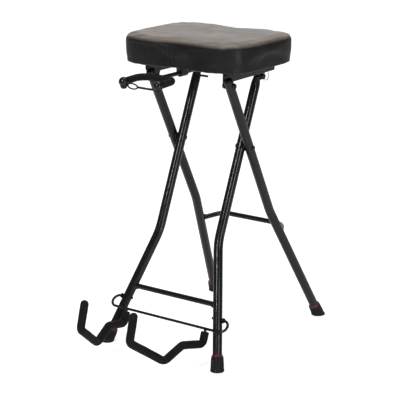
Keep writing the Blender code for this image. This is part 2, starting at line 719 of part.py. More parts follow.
def sleeve(name, path, outer_r, core_r, sides, look, origin, round_tip):
    """Foam sleeve over a rod: open at the start, closed and round at the tip when round_tip is set."""
    hint = (1, 0, 0)
    outer = sweep(path, outer_r, sides, hint)
    bore_r = core_r + GAP + RUNNING
    inner = sweep(path, bore_r, sides, hint)
    last, tangent, u, v = frames(path, hint)[-1]
    first, lead, fu, fv = frames(path, hint)[0]
    outer[0] = circle(first, fu, fv, sides, outer_r - EDGE_SOFT / 2)
    outer.insert(1, circle(first + lead * (EDGE_SOFT / 2), fu, fv, sides, outer_r))
    if round_tip:
        tip = [circle(last + tangent * (outer_r * math.sin(a)), u, v, sides, outer_r * math.cos(a))
               for a in (share * math.pi / 2 for share in TIP_ANGLE_SHARES)]
        mesh = skin(inner[::-1] + outer + tip, last, last + tangent * outer_r)
    else:
        outer.insert(-1, circle(last - tangent * (EDGE_SOFT / 2), u, v, sides, outer_r))
        outer[-1] = circle(last, u, v, sides, outer_r - EDGE_SOFT / 2)
        mesh = skin(inner[::-1] + outer, loop=True)
    return place(name, mesh, look, origin)


def hooks():
    """The two hooks: a rod core each and its foam sleeve."""
    for side, sign in SIDES:
        path = hook_path(sign)
        core = trimmed(path, 0, HOOK_FOAM_TIP)
        place(f"hook_core_{side}", rod_mesh(core, HOOK_CORE_R, CORE_SIDES, (1, 0, 0)), "black_powder_coat",
              CRADLE_AXIS)
        foam = trimmed(path, HOOK_FOAM_START, HOOK_FOAM_TIP - GAP)
        outer = HOOK_CORE_R + GAP + RUNNING + HOOK_FOAM_WALL
        sleeve(f"hook_foam_{side}", foam, outer, HOOK_CORE_R, HOOK_SIDES, "black_foam", CRADLE_AXIS, True)


def seat_outline(inset):
    """Seat outline in plan, drawn in by inset: a superellipse with waisted front and rear."""
    a = SEAT_WIDTH / 2 - inset
    b = SEAT_DEPTH / 2 - inset
    angle = 2 * math.pi * (np.arange(SEAT_SIDES) + 0.5) / SEAT_SIDES
    c, s = np.cos(angle), np.sin(angle)
    x = a * np.sign(c) * np.abs(c) ** (2 / SEAT_POWER)
    y = b * np.sign(s) * np.abs(s) ** (2 / SEAT_POWER)
    waist = 1 - (SEAT_WAIST / b) * np.exp(-(x / (a * SEAT_WAIST_SHARE)) ** 2)
    return x, y * waist


def seat_ring(inset, z, saddle=0.0):
    """One ring of the cushion; the saddle lifts its left and right sides."""
    x, y = seat_outline(inset)
    lift = saddle * (x / (SEAT_WIDTH / 2)) ** 2
    return [Vector((p, q + SEAT_CENTRE_Y, z + r)) for p, q, r in zip(x, y, lift)]


def cushion():
    """Padded seat: recess for the board, drawn-in side band, seam and a crowned top."""
    recess_z = SEAT_UNDER_Z + BOARD_THICK + GAP
    seam_z = SEAT_SIDE_Z - SEAM_DROP
    middle_z = (SEAT_UNDER_Z + seam_z) / 2
    lip_z = SEAT_UNDER_Z - SEAT_SKIRT
    half = SEAT_DEPTH / 2
    top = SEAT_SIDE_Z
    rings = [seat_ring(SEAT_LIP, recess_z), seat_ring(SEAT_LIP, lip_z), seat_ring(SEAT_ROUND / 2, lip_z),
             seat_ring(0, SEAT_UNDER_Z + SEAT_ROUND), seat_ring(-SIDE_BULGE, middle_z),
             seat_ring(0, seam_z - EDGE_SOFT), seat_ring(SEAM_DEPTH, seam_z), seat_ring(0, seam_z + EDGE_SOFT),
             seat_ring(SEAT_ROUND / 2, top - EDGE_SOFT), seat_ring(2 * SEAT_ROUND, top, SEAT_SADDLE / 2)]
    for share in CROWN_SHARES:
        rise = SEAT_CROWN * math.sin(share * math.pi / 2)
        rings.append(seat_ring(half * share, top + rise, SEAT_SADDLE))
    mesh = skin(rings, (0, SEAT_CENTRE_Y, recess_z), (0, SEAT_CENTRE_Y, top + SEAT_CROWN))
    place("seat_cushion", mesh, "black_vinyl", REAR_TOP)


def board():
    """Plywood board that fills the recess of the cushion."""
    x, y = seat_outline(SEAT_LIP + GAP)
    outline = [Vector((p, q)) for p, q in zip(x, y)]

    def at(z):
        return lambda p: Vector((p[0], p[1] + SEAT_CENTRE_Y, z))

    mesh = extrude(outline, at(SEAT_UNDER_Z), at(SEAT_UNDER_Z + BOARD_THICK))
    return place("seat_board", mesh, "plywood", REAR_TOP)


# Seat brackets: a channel over the end of the rear leg, with a lug at each end
CHANNEL_HALF = TUBE_R + BRACKET_SIDE_GAP
BRACKET_HALF = CHANNEL_HALF + BRACKET_PLATE
BRACKET_FRONT = REAR_TOP.y - BRACKET_NOSE
BRACKET_BACK = FRONT_PIN.y + BRACKET_TAIL
BRACKET_TOP = SEAT_UNDER_Z - GAP


def bracket(side, sign, seat_board):
    """Seat bracket, its two seat screws and the pivot bolt of the rear leg."""
    web = BRACKET_TOP - BRACKET_WEB
    low_front = REAR_TOP.z - BRACKET_LUG
    low_back = FRONT_PIN.z - BRACKET_LUG
    step = BRACKET_TOP - BRACKET_STEP
    corners = [(BRACKET_FRONT, BRACKET_TOP), (BRACKET_FRONT, low_front),
               (REAR_TOP.y + BRACKET_LUG_HALF, low_front), (REAR_TOP.y + BRACKET_LUG_HALF + BRACKET_CORNER, web),
               (FRONT_PIN.y - BRACKET_LUG_HALF - BRACKET_CORNER, web), (FRONT_PIN.y - BRACKET_LUG_HALF, low_back),
               (FRONT_PIN.y + BRACKET_LUG_HALF, low_back), (FRONT_PIN.y + BRACKET_LUG_HALF, step),
               (BRACKET_BACK, step), (BRACKET_BACK, BRACKET_TOP)]
    r = BRACKET_CORNER
    outline = rounded_outline(corners, [0, r, r, r, r, r, r, r / 2, r / 2, 0], CORNER_STEPS)
    middle = sign * REAR_HALF

    def at(x):
        return lambda p: Vector((x, p[0], p[1]))

    mesh = extrude(outline, at(middle - BRACKET_HALF), at(middle + BRACKET_HALF))
    item = place(f"bracket_{side}", mesh, "black_powder_coat", REAR_TOP)
    front, back = BRACKET_FRONT - OVERRUN, BRACKET_BACK + OVERRUN
    floor = low_back - OVERRUN
    roof = BRACKET_TOP - BRACKET_PLATE
    cut(item, box((middle - CHANNEL_HALF, front, floor), (middle + CHANNEL_HALF, back, roof)), f"cut_channel_{side}")
    # The outer plate has no lugs, and its lower edge rises a little to the rear
    outer = (sign * (REAR_HALF + CHANNEL_HALF - RUNNING), sign * (REAR_HALF + BRACKET_HALF + OVERRUN))
    outer_web = BRACKET_TOP - BRACKET_OUTER_WEB
    wedge = [Vector((front, outer_web)), Vector((back, outer_web + BRACKET_SLOPE)), Vector((back, floor)),
             Vector((front, floor))]
    cut(item, extrude(wedge, at(min(outer)), at(max(outer))), f"cut_outer_{side}")
    reach = Vector((BRACKET_HALF + OVERRUN, 0, 0))
    centre = REAR_TOP + Vector((middle, 0, 0))
    bore(item, f"cut_bracket_bolt_{side}", centre - reach, centre + reach, SEAT_BOLT_R + GAP)
    out = Vector((sign, 0, 0))
    plate = FRONT_PIN + out * (REAR_HALF - BRACKET_HALF)
    run = out * (BRACKET_PLATE + OVERRUN)
    bore(item, f"cut_bracket_pin_{side}", plate - run, plate + run, PIN_R + RUNNING)
    start = REAR_TOP + out * (REAR_HALF - BRACKET_HALF - GAP)
    bolt(f"seat_bolt_{side}", start, out, BRACKET_HALF + TUBE_R + 2 * GAP, SEAT_BOLT_R, REAR_TOP)
    for number, share in enumerate(SCREW_SHARES, 1):
        y = BRACKET_FRONT + (BRACKET_BACK - BRACKET_FRONT) * share
        tip = Vector((middle, y, SEAT_UNDER_Z + SEAT_SCREW_BITE))
        seat = Vector((middle, y, roof - GAP))
        down = Vector((0, 0, -1))
        length = (tip - seat).length
        head_r = SEAT_SCREW_R + SEAT_SCREW_HEAD_EDGE
        profile = [(0, SEAT_SCREW_R), (length, SEAT_SCREW_R), (length, head_r),
                   (length + SEAT_SCREW_HEAD_H, head_r - PIN_CHAMFER)]
        place(f"seat_screw_{side}_{number}", turn(profile, tip, down, hint=(1, 0, 0)), "black_fastener", REAR_TOP)
        low = seat + down * OVERRUN
        high = tip + Vector((0, 0, GAP))
        bore(item, f"cut_screw_bracket_{side}_{number}", low, high, SEAT_SCREW_R + GAP)
        bore(seat_board, f"cut_screw_board_{side}_{number}", low, high, SEAT_SCREW_R + GAP)
    return item


def lock_parts():
    """Fixed stud at the left, lock pin with its ring at the right."""
    for side, sign in SIDES:
        out = Vector((sign, 0, 0))
        face = FRONT_PIN + out * (REAR_HALF - CHANNEL_HALF + GAP)
        if side == "left":
            profile = [(STUD_HEAD_H, STUD_HEAD_R - PIN_CHAMFER), (STUD_HEAD_H - PIN_CHAMFER, STUD_HEAD_R),
                       (0, STUD_HEAD_R), (0, PIN_R), (-PIN_REACH, PIN_R), (-PIN_REACH - PIN_CHAMFER, PIN_R - PIN_CHAMFER)]
            place("seat_stud", turn(profile, face, out), "black_fastener", REAR_TOP)
            continue
        profile = [(PIN_HEAD_H, PIN_HEAD_R - PIN_CHAMFER), (PIN_HEAD_H - PIN_CHAMFER, PIN_HEAD_R),
                   (0, PIN_HEAD_R), (0, PIN_R), (-PIN_REACH, PIN_R), (-PIN_REACH - PIN_CHAMFER, PIN_R - PIN_CHAMFER)]
        pin = place("lock_pin", turn(profile, face, out), "black_fastener", FRONT_PIN + out * REAR_HALF)
        hole = face + out * (PIN_HEAD_H / 2) + Vector((0, PIN_HEAD_R - LOCK_RING_HOLE - PIN_CHAMFER, 0))
        up = Vector((0, 0, PIN_HEAD_R + OVERRUN))
        bore(pin, "cut_ring_hole", hole - up, hole + up, LOCK_RING_HOLE, LOCK_HOLE_SIDES)
        centre = hole + Vector((0, LOCK_RING_R - LOCK_RING_SLACK, 0))
        rings = []
        for k in range(LOCK_SIDES):
            a = 2 * math.pi * k / LOCK_SIDES
            radial = Vector((0, math.cos(a), math.sin(a)))
            rings.append(circle(centre + radial * LOCK_RING_R, radial, Vector((1, 0, 0)), LOCK_WIRE_SIDES,
                                LOCK_WIRE_R))
        place("lock_ring", skin(rings, loop=True), "steel_wire", hole)


def top_bolt():
    """Bolt through the top of the left leg, with its nut on the inner side."""
    centre = FRONT_PIN - FRONT_UP * TOP_BOLT_DROP + Vector((-FRONT_HALF, 0, 0))
    face = TOP_BOLT_SEAT + GAP
    inner = face + TOP_BOLT_REACH
    head_r = TOP_BOLT_R + TOP_HEAD_EDGE
    nut_r = TOP_BOLT_R + TOP_NUT_EDGE
    profile = [(-face - TOP_BOLT_R, TOP_BOLT_R), (-face, head_r), (-face, TOP_BOLT_R), (face, TOP_BOLT_R),
               (face, nut_r), (face + TOP_NUT_H, nut_r), (face + TOP_NUT_H, TOP_BOLT_R), (inner, TOP_BOLT_R)]
    place("leg_top_bolt", turn(profile, centre, (1, 0, 0)), "black_fastener", PIVOT)


# Neck yoke
YOKE_Z = SEAT_UNDER_Z - YOKE_ARM_R - YOKE_ARM_CLEAR
SEAT_FRONT = SEAT_CENTRE_Y - SEAT_DEPTH / 2
YOKE_BACK_Y = SEAT_FRONT - YOKE_OUT


def yoke(seat_board):
    """Sliding arm with its U-shaped fork, foam sleeve, end balls, strap and guides."""
    back = Vector((0, YOKE_BACK_Y, YOKE_Z))
    forward = Vector((0, -math.cos(YOKE_SLOPE), -math.sin(YOKE_SLOPE)))
    corner = Vector((YOKE_HALF, 0, 0))
    ends = forward * YOKE_REACH
    path = rounded_path([back - corner + ends, back - corner, back + corner, back + corner + ends],
                        [YOKE_CORNER, YOKE_CORNER], BEND_STEPS)
    rod = place("yoke_rod", rod_mesh(path, YOKE_ROD_R, CORE_SIDES, (0, 0, 1)), "black_powder_coat", REAR_TOP)
    foam_path = [path[0] - forward * (YOKE_BALL_SINK + GAP)] + path[1:-1] + [path[-1] - forward * (YOKE_BALL_SINK + GAP)]
    foam = yoke_sleeve(foam_path)
    arm_start = back + Vector((0, YOKE_ROD_R + GAP, 0))
    length = YOKE_ARM_BACK
    profile = [(0, YOKE_ARM_R - YOKE_ARM_CHAMFER), (YOKE_ARM_CHAMFER, YOKE_ARM_R), (length - YOKE_ARM_CHAMFER, YOKE_ARM_R),
               (length, YOKE_ARM_R - YOKE_ARM_CHAMFER)]
    place("yoke_arm", turn(profile, arm_start, (0, 1, 0)), "black_powder_coat", REAR_TOP)
    opening = turn([(0, YOKE_ARM_R + GAP), (YOKE_FOAM_R + OVERRUN, YOKE_ARM_R + GAP)], back, (0, 1, 0))
    cut(foam, opening, "cut_foam_arm")
    for side, sign in SIDES:
        tip = back + corner * sign + ends
        centre = tip + forward * (YOKE_BALL_R - YOKE_BALL_SINK)
        ball(f"yoke_ball_{side}", centre, forward)
    strap(back - corner + ends, back + corner + ends, forward)
    for name, inset in (("front", GUIDE_FRONT_INSET), ("rear", GUIDE_REAR_INSET)):
        guide(name, SEAT_FRONT + inset + SEAT_WAIST, seat_board)
    return rod


def yoke_sleeve(path):
    """Foam sleeve of the yoke, open at both ends."""
    return sleeve("yoke_foam", path, YOKE_FOAM_R, YOKE_ROD_R, YOKE_SIDES, "black_foam", REAR_TOP, False)


def ball(name, centre, forward):
    """Rubber end ball with a blind bore over the rod."""
    r = YOKE_BALL_R
    bore_r = YOKE_ROD_R + GAP + RUNNING
    open_angle = math.asin(bore_r / r)
    depth = YOKE_BALL_SINK - r + GAP + RUNNING
    profile = [(depth, bore_r)]
    for k in range(BALL_STEPS):
        a = open_angle + (math.pi - open_angle) * k / BALL_STEPS
        profile.append((-r * math.cos(a), r * math.sin(a)))
    axis = Vector(forward)
    v = axis.cross(Vector((1, 0, 0)))
    rings = [circle(centre + axis * s, Vector((1, 0, 0)), v, BOLT_SIDES, radius) for s, radius in profile]
    place(name, skin(rings, centre + axis * depth, centre + axis * r), "black_rubber", REAR_TOP)


def strap(left, right, forward):
    """Rubber strap between the balls, with an oval eye near its left end."""
    centre_y = left.y + forward.y * (YOKE_BALL_R - YOKE_BALL_SINK)
    z = left.z - STRAP_DROP
    side = math.sqrt(YOKE_BALL_R ** 2 - (STRAP_DROP - STRAP_HIGH / 2) ** 2) + GAP
    x0 = left.x + side
    x1 = right.x - side
    low = Vector((x0, centre_y - STRAP_THICK / 2, z - STRAP_HIGH / 2))
    high = Vector((x1, centre_y + STRAP_THICK / 2, z + STRAP_HIGH / 2))
    item = place("yoke_strap", box(low, high), "black_rubber", REAR_TOP)
    eye_x = x0 + (x1 - x0) * EYE_SHARE
    half_y = Vector((0, STRAP_THICK / 2, 0))
    middle = Vector((eye_x, centre_y, z))
    for tag, grow, run, operation in (("eye", 0, 0, "UNION"), ("hole", EYE_WALL, OVERRUN, "DIFFERENCE")):
        outline = circle((0, 0, 0), (1, 0, 0), (0, 1, 0), EYE_SIDES, EYE_LONG / 2 - grow, EYE_HIGH / 2 - grow)
        reach = half_y + Vector((0, run, 0))

        def at(base):
            return lambda p: base + Vector((p[0], 0, p[1]))

        cut(item, extrude(outline, at(middle - reach), at(middle + reach)), f"cut_strap_{tag}", operation)


def guide(name, y, seat_board):
    """Clamp under the board in which the yoke arm slides, and its two screws."""
    top = SEAT_UNDER_Z - GAP
    low = YOKE_Z - YOKE_ARM_R - GUIDE_WALL
    body = YOKE_ARM_R + GUIDE_WALL
    shelf = top - GUIDE_FLANGE
    corners = [(-GUIDE_HALF, top), (-GUIDE_HALF, shelf), (-body, shelf), (-body, low), (body, low), (body, shelf),
               (GUIDE_HALF, shelf), (GUIDE_HALF, top)]
    outline = rounded_outline(corners, [0, 0, 0, body / 2, body / 2, 0, 0, 0], CORNER_STEPS)

    def at(place_y):
        return lambda p: Vector((p[0], place_y, p[1]))

    item = place(f"yoke_guide_{name}", extrude(outline, at(y), at(y + GUIDE_LENGTH)), "black_rubber", REAR_TOP)
    start = Vector((0, y - OVERRUN, YOKE_Z))
    end = Vector((0, y + GUIDE_LENGTH + OVERRUN, YOKE_Z))
    bore(item, f"cut_guide_{name}", start, end, YOKE_ARM_R + RUNNING)
    for side, sign in SIDES:
        x = sign * (body + (GUIDE_HALF - body) * GUIDE_SCREW_SHARE)
        tip = Vector((x, y + GUIDE_LENGTH / 2, SEAT_UNDER_Z + SEAT_SCREW_BITE))
        length = SEAT_SCREW_BITE + GUIDE_FLANGE + 2 * GAP
        down = Vector((0, 0, -1))
        head_r = GUIDE_SCREW_R + GUIDE_SCREW_HEAD_EDGE
        profile = [(0, GUIDE_SCREW_R), (length, GUIDE_SCREW_R), (length, head_r),
                   (length + GUIDE_SCREW_HEAD_H, head_r - PIN_CHAMFER)]
        place(f"guide_screw_{name}_{side}", turn(profile, tip, down, hint=(1, 0, 0)), "black_fastener", REAR_TOP)
        bottom = tip + down * (length + OVERRUN)
        high = tip + Vector((0, 0, GAP))
        bore(item, f"cut_screw_guide_{name}_{side}", bottom, high, GUIDE_SCREW_R + GAP)
        bore(seat_board, f"cut_screw_board_{name}_{side}", bottom, high, GUIDE_SCREW_R + GAP)


def build():
    """Make every piece of the stool."""
    for side, sign in SIDES:
        rear_leg(side, sign)
        front_leg(side, sign)
        frame_joint(side, sign)
        for tag, up, knee_z, half, foot_half in (("front", FRONT_UP, FRONT_KNEE_Z, FRONT_HALF, FRONT_FOOT_HALF),
                                                 ("rear", REAR_UP, REAR_KNEE_Z, REAR_HALF, REAR_FOOT_HALF)):
            along = lower_direction(up, knee_z, half, foot_half, sign)
            foot(tag, side, on_frame(up, 0, sign * foot_half), along)
    front_crossbar()
    rear_crossbar()
    cradle_wire()
    hooks()
    cushion()
    seat_board = board()
    for side, sign in SIDES:
        bracket(side, sign, seat_board)
    lock_parts()
    top_bolt()
    yoke(seat_board)


def centre_on_floor():
    """Shift the stool so that the origin lies under the middle of its bounding box."""
    low, high = Vector((math.inf, math.inf)), Vector((-math.inf, -math.inf))
    for item in STOOL.objects:
        for vertex in item.data.vertices:
            point = vertex.co + item.location
            for axis in (0, 1):
                low[axis] = min(low[axis], point[axis])
                high[axis] = max(high[axis], point[axis])
    shift = -(low + high) / 2
    for item in bpy.data.objects:
        item.location.x += shift.x
        item.location.y += shift.y
    return Vector((shift.x, shift.y, 0))


build()
SHIFT = centre_on_floor()
for label, point in (("scissor_fold", PIVOT), ("seat_fold", REAR_TOP), ("cradle_fold", CRADLE_AXIS),
                     ("front_pin", FRONT_PIN)):
    print(label, [round(value, 6) for value in point + SHIFT])
for label, up, half in (("front_foot", FRONT_UP, FRONT_FOOT_HALF), ("rear_foot", REAR_UP, REAR_FOOT_HALF)):
    print(label, [round(value, 6) for value in on_frame(up, 0, half) + SHIFT])
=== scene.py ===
"""Folding guitar stool: the looks around the packed model, laid out as a Blender add-on."""
import json
import math

import bpy
import numpy as np
from bpy.props import FloatProperty, FloatVectorProperty, IntProperty, PointerProperty
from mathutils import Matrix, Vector
from mathutils.bvhtree import BVHTree

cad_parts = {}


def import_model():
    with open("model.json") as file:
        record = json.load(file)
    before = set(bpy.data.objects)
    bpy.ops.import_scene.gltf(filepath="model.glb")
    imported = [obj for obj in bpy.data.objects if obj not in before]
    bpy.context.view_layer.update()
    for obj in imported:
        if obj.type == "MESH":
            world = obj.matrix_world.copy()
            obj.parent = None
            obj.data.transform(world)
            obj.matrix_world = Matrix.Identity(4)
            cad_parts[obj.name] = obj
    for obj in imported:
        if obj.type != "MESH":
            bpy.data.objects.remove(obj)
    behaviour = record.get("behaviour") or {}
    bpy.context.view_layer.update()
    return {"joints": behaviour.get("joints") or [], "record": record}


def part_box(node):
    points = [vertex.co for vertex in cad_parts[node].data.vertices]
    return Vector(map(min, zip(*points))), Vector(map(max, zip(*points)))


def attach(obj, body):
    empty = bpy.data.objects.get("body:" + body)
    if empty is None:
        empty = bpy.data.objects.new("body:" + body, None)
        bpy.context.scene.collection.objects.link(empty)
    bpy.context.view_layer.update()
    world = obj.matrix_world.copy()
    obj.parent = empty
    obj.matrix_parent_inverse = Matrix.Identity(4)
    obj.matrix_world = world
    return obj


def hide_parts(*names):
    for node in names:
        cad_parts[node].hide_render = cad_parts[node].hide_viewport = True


bl_info = {
    "name": "Guitar Stool",
    "version": (1, 0, 0),
    "blender": (4, 5, 0),
    "location": "View3D > Sidebar > Guitar Stool",
    "description": "Builds a folding guitar stool with a padded seat, a wire cradle and a neck yoke",
    "category": "Add Mesh",
}

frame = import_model()
JOINT = {joint["name"]: np.array(joint.get("pos_m", (0, 0, 0)), float) for joint in frame["joints"]}
MOUNT = {mount["name"]: np.array(mount["pos_m"], float) for mount in frame["record"]["mounts"]}
SIDES = (("left", -1), ("right", 1))
X, Y, Z = np.eye(3)
TURN = 2 * math.pi


def middle(node):
    """Centre of a CAD node's box."""
    low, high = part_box(node)
    return np.array((low + high) / 2)


PIVOT = JOINT["scissor_fold"]
REAR_TOP = JOINT["seat_fold"]
CRADLE_AXIS = JOINT["cradle_fold"]
FRONT_PIN = np.array((0, *middle("seat_stud")[1:]))
SEAT_LOW, SEAT_HIGH = (np.array(corner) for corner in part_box("seat_cushion"))
BOARD_LOW = np.array(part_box("seat_board")[0])
FRONT_FOOT = MOUNT["front_foot_right"]
REAR_FOOT = MOUNT["rear_foot_right"]


def unit(vector):
    """Vectors of length one along the last axis."""
    vector = np.asarray(vector, float)
    return vector / np.linalg.norm(vector, axis=-1, keepdims=True)


FRONT_UP = unit((0, PIVOT[1] - FRONT_FOOT[1], PIVOT[2]))
REAR_UP = unit((0, PIVOT[1] - REAR_FOOT[1], PIVOT[2]))
FRONT_NORMAL = np.cross(X, FRONT_UP)
REAR_NORMAL = np.cross(REAR_UP, X)

# Gap between pieces that touch, start of a tube above the floor, bore of boots and rings, angle of kept edges
CLEARANCE = 0.0003
TUBE_START = 0.0145
BOOT_BORE = 0.0117
SHARP = 38


# Properties

def length(name, description, default, **extra):
    """A length in metres."""
    return FloatProperty(name=name, description=description, default=default, min=0, precision=4,
                         subtype="DISTANCE", unit="LENGTH", **extra)


def colour(name, description, default):
    """A linear colour."""
    return FloatVectorProperty(name=name, description=description, default=default, size=3, min=0, max=1,
                               subtype="COLOR")


def share(name, description, default):
    """A number from 0 to 1."""
    return FloatProperty(name=name, description=description, default=default, min=0, max=1, precision=3,
                         subtype="FACTOR")


def angle(name, description, default):
    """An angle in degrees."""
    return FloatProperty(name=name, description=description, default=math.radians(default), subtype="ANGLE",
                         unit="ROTATION")


class StoolFrame(bpy.types.PropertyGroup):
    """Sizes of the tube frames."""

    tube_radius: length("Tube radius", "Outside radius of the leg tubes", 0.0115)
    front_half: length("Front frame half width", "Half the distance between the front legs above the knee",
                       0.089)
    rear_half: length("Rear frame half width", "Half the distance between the rear legs above the knee",
                      0.114)
    front_knee: length("Front knee height", "Height at which the front legs start to splay", 0.2758)
    rear_knee: length("Rear knee height", "Height at which the rear legs start to splay", 0.3142)
    knee_radius: length("Knee radius", "Radius of the bend at the knees", 0.17)
    tab_half: length("Flattened half width", "Half the width of the flattened top of a front leg", 0.0135)
    tab_thick: length("Flattened thickness", "Thickness of the flattened top of a front leg", 0.0044)
    tab_flat: length("Flat length", "Length of the flattened part below the pin", 0.0085)
    tab_taper: length("Taper length", "Length over which the tube flattens", 0.0205)
    tab_end: length("End length", "Length of the flattened part above the pin", 0.012)
    top_bolt_drop: length("Top bolt drop", "Distance of the left leg's upper bolt below the pin", 0.017)
    top_bolt_seat: length("Top bolt seat", "Distance of the bolt's two flats from the tube's middle", 0.0062)
    top_bolt_end: length("Top bolt end", "Distance of the bolt's end from the tube's middle", 0.035)
    bar_radius: length("Crossbar radius", "Radius of the two crossbars", 0.0066)
    front_bar: length("Front crossbar height", "Height of the front crossbar", 0.1398)
    rear_bar: length("Rear crossbar height", "Height of the rear crossbar at the legs", 0.2462)
    rear_bar_bow: length("Rear crossbar bow", "How far the rear crossbar bows to the rear", 0.058)
    rear_bar_inset: length("Rear crossbar inset", "How far in from the legs the bow begins", 0.033)
    rear_bar_rise: length("Rear crossbar rise", "How much higher the bow lies than the ends", 0.0082)
    weld: length("Weld radius", "Radius of the weld beads at the crossbars", 0.0017)


class StoolFeet(bpy.types.PropertyGroup):
    """Sizes of the rubber feet."""

    base_radius: length("Base radius", "Radius of a foot at the floor", 0.0168)
    top_radius: length("Top radius", "Radius of a foot at its rim", 0.0155)
    height: length("Height", "Length of a foot along its leg", 0.0318)
    rib: length("Rib depth", "How far the ribs stand out", 0.0011)
    ribs: IntProperty(name="Ribs", description="Number of ribs round a foot", default=20, min=8, max=60)
    ring_radius: length("Ring radius", "Outside radius of the red ring at its foot", 0.0150)
    ring_height: length("Ring height", "Height of the red ring", 0.0075)


class StoolSeat(bpy.types.PropertyGroup):
    """Sizes of the padded seat."""

    power: FloatProperty(name="Corner power", description="Power of the superellipse of the outline",
                         default=4.6)
    waist: length("Waist", "How far the front and rear draw in at the middle", 0.0135)
    waist_share: share("Waist width", "Width of the waist as a share of half the seat", 0.27)
    seam_drop: length("Seam drop", "How far below the top edge the seam runs", 0.010)
    crown: length("Crown", "How far the middle of the top stands above its edge", 0.0028)
    saddle: length("Saddle", "How far the left and right sides of the top lift", 0.003)
    edge_round: length("Edge radius", "Radius of the top edge", 0.0085)
    swell: length("Swell", "The most that the filling pushes a panel out", 0.0026)
    margin: length("Wrapped margin", "Width of the vinyl that is turned under the board", 0.021)
    skirt: length("Skirt", "How far the padded edge hangs below the board", 0.0021)
    joint_x: FloatProperty(name="Joint place", description="Where across the front the band is joined",
                           default=-0.0175, subtype="DISTANCE", unit="LENGTH", precision=4)
    stitch: length("Stitch length", "Length of one stitch", 0.0034)


class StoolCradle(bpy.types.PropertyGroup):
    """Sizes of the wire cradle and its hooks."""

    wire_radius: length("Wire radius", "Radius of the cradle wire", 0.0033)
    loop_out: length("Loop distance", "How far outside the leg's middle the end loop starts", 0.0196)
    rod_drop: length("Rod drop", "How far the straight rod lies below the wire's axis", 0.0201)
    core_radius: length("Hook rod radius", "Radius of the rod inside a hook", 0.0032)
    foam_radius: length("Foam radius", "Outside radius of a hook's foam sleeve", 0.0101)
    hook_inset: length("Hook inset", "Distance of a hook inward from the leg's middle", 0.0174)


class StoolYoke(bpy.types.PropertyGroup):
    """Sizes of the neck yoke."""

    half: length("Fork half width", "Half the distance between the fork's arms", 0.0495)
    reach: length("Fork reach", "Length of the fork's arms", 0.0635)
    slope: angle("Fork slope", "Downward slope of the fork's arms", 2.6)
    corner: length("Corner radius", "Radius of the fork's corners", 0.024)
    rod_radius: length("Rod radius", "Radius of the rod inside the foam", 0.0034)
    foam_radius: length("Foam radius", "Outside radius of the foam sleeve", 0.0086)
    ball_radius: length("Ball radius", "Radius of the end balls", 0.0116)
    arm_radius: length("Arm radius", "Radius of the sliding arm", 0.005)
    strap_high: length("Strap height", "Height of the retaining strap", 0.0050)
    strap_thick: length("Strap thickness", "Thickness of each strand of the strap", 0.0034)
    strap_left: length("Left strap drop", "How far the strap lies below the left ball's middle", 0.0062)
    strap_right: length("Right strap drop", "How far the strap lies below the right ball's middle", 0.0092)


class StoolFinishes(bpy.types.PropertyGroup):
    """Colours of the materials."""

    paint: colour("Powder coat", "Colour of the frame", (0.0058, 0.0056, 0.0060))
    vinyl: colour("Vinyl", "Colour of the seat's covering", (0.0088, 0.0084, 0.0088))
    foam: colour("Foam", "Colour of the foam sleeves", (0.0046, 0.0041, 0.0039))
    rubber: colour("Rubber", "Colour of the feet", (0.0036, 0.0036, 0.0040))
    red: colour("Red rubber", "Colour of the rings above the feet", (0.105, 0.013, 0.017))
    oxide: colour("Black oxide", "Colour of the fasteners", (0.035, 0.035, 0.038))
    plastic: colour("Plastic", "Colour of the moulded pieces", (0.0080, 0.0076, 0.0078))
    steel: colour("Steel", "Colour of the pull ring and staples", (0.56, 0.56, 0.57))
    board: colour("Board", "Colour of the seat board", (0.42, 0.29, 0.17))
    thread: colour("Thread", "Colour of the stitching", (0.03, 0.03, 0.031))


class StoolStage(bpy.types.PropertyGroup):
    """Camera and light."""

    azimuth: angle("Azimuth", "Direction from which the camera looks", 35.46)
    elevation: angle("Elevation", "Height of the camera above the horizon", 15.64)
    distance: length("Distance", "Distance of the camera from its target", 3.349)
    target: FloatVectorProperty(name="Target", description="Point that the camera looks at", subtype="XYZ",
                                unit="LENGTH", default=(0, 0.03127, 0.357))
    lens: FloatProperty(name="Lens", description="Focal length in millimetres", default=121.9, min=10)


GROUPS = (("stool_frame", StoolFrame), ("stool_feet", StoolFeet), ("stool_seat", StoolSeat),
          ("stool_cradle", StoolCradle), ("stool_yoke", StoolYoke), ("stool_finishes", StoolFinishes),
          ("stool_stage", StoolStage))


# Surfaces

def surface(points, wrap=True, start=None, end=None, loop=False):
    """Faces of a grid of points (rows, columns, 3): columns join when wrap is set, rows when loop is set.

    start and end are the points at which fans of triangles close the first and the last row.
    """
    rows, cols = points.shape[:2]
    index = np.arange(rows * cols).reshape(rows, cols)
    if wrap:
        index = np.hstack([index, index[:, :1]])
    if loop:
        index = np.vstack([index, index[:1]])
    quads = np.stack([index[:-1, :-1], index[:-1, 1:], index[1:, 1:], index[1:, :-1]], -1).reshape(-1, 4)
    verts = points.reshape(-1, 3)
    fans = []
    for point, row, flip in ((start, index[0], True), (end, index[-1], False)):
        if point is None:
            continue
        tip = np.full(len(row) - 1, len(verts))
        verts = np.vstack([verts, point])
        first, second = (row[1:], row[:-1]) if flip else (row[:-1], row[1:])
        fans.append(np.stack([first, second, tip], -1))
    return verts, [quads, *fans]


def outward(part):
    """Turn a closed part's faces outward: its signed volume, the sum of corner products, is made positive."""
    verts, faces = part
    total = 0.0
    for group in faces:
        for k in range(1, group.shape[1] - 1):
            a, b, c = verts[group[:, 0]], verts[group[:, k]], verts[group[:, k + 1]]
            total += np.einsum("ij,ij->", a, np.cross(b, c))
    return (verts, [group[:, ::-1] for group in faces]) if total < 0 else part


def closed(points, end=None):
    """A surface with a fan round the centre of its first row, and one round its last row's centre or end."""
    end = points[-1].mean(axis=0) if end is None else end
    return outward(surface(points, start=points[0].mean(axis=0), end=end))


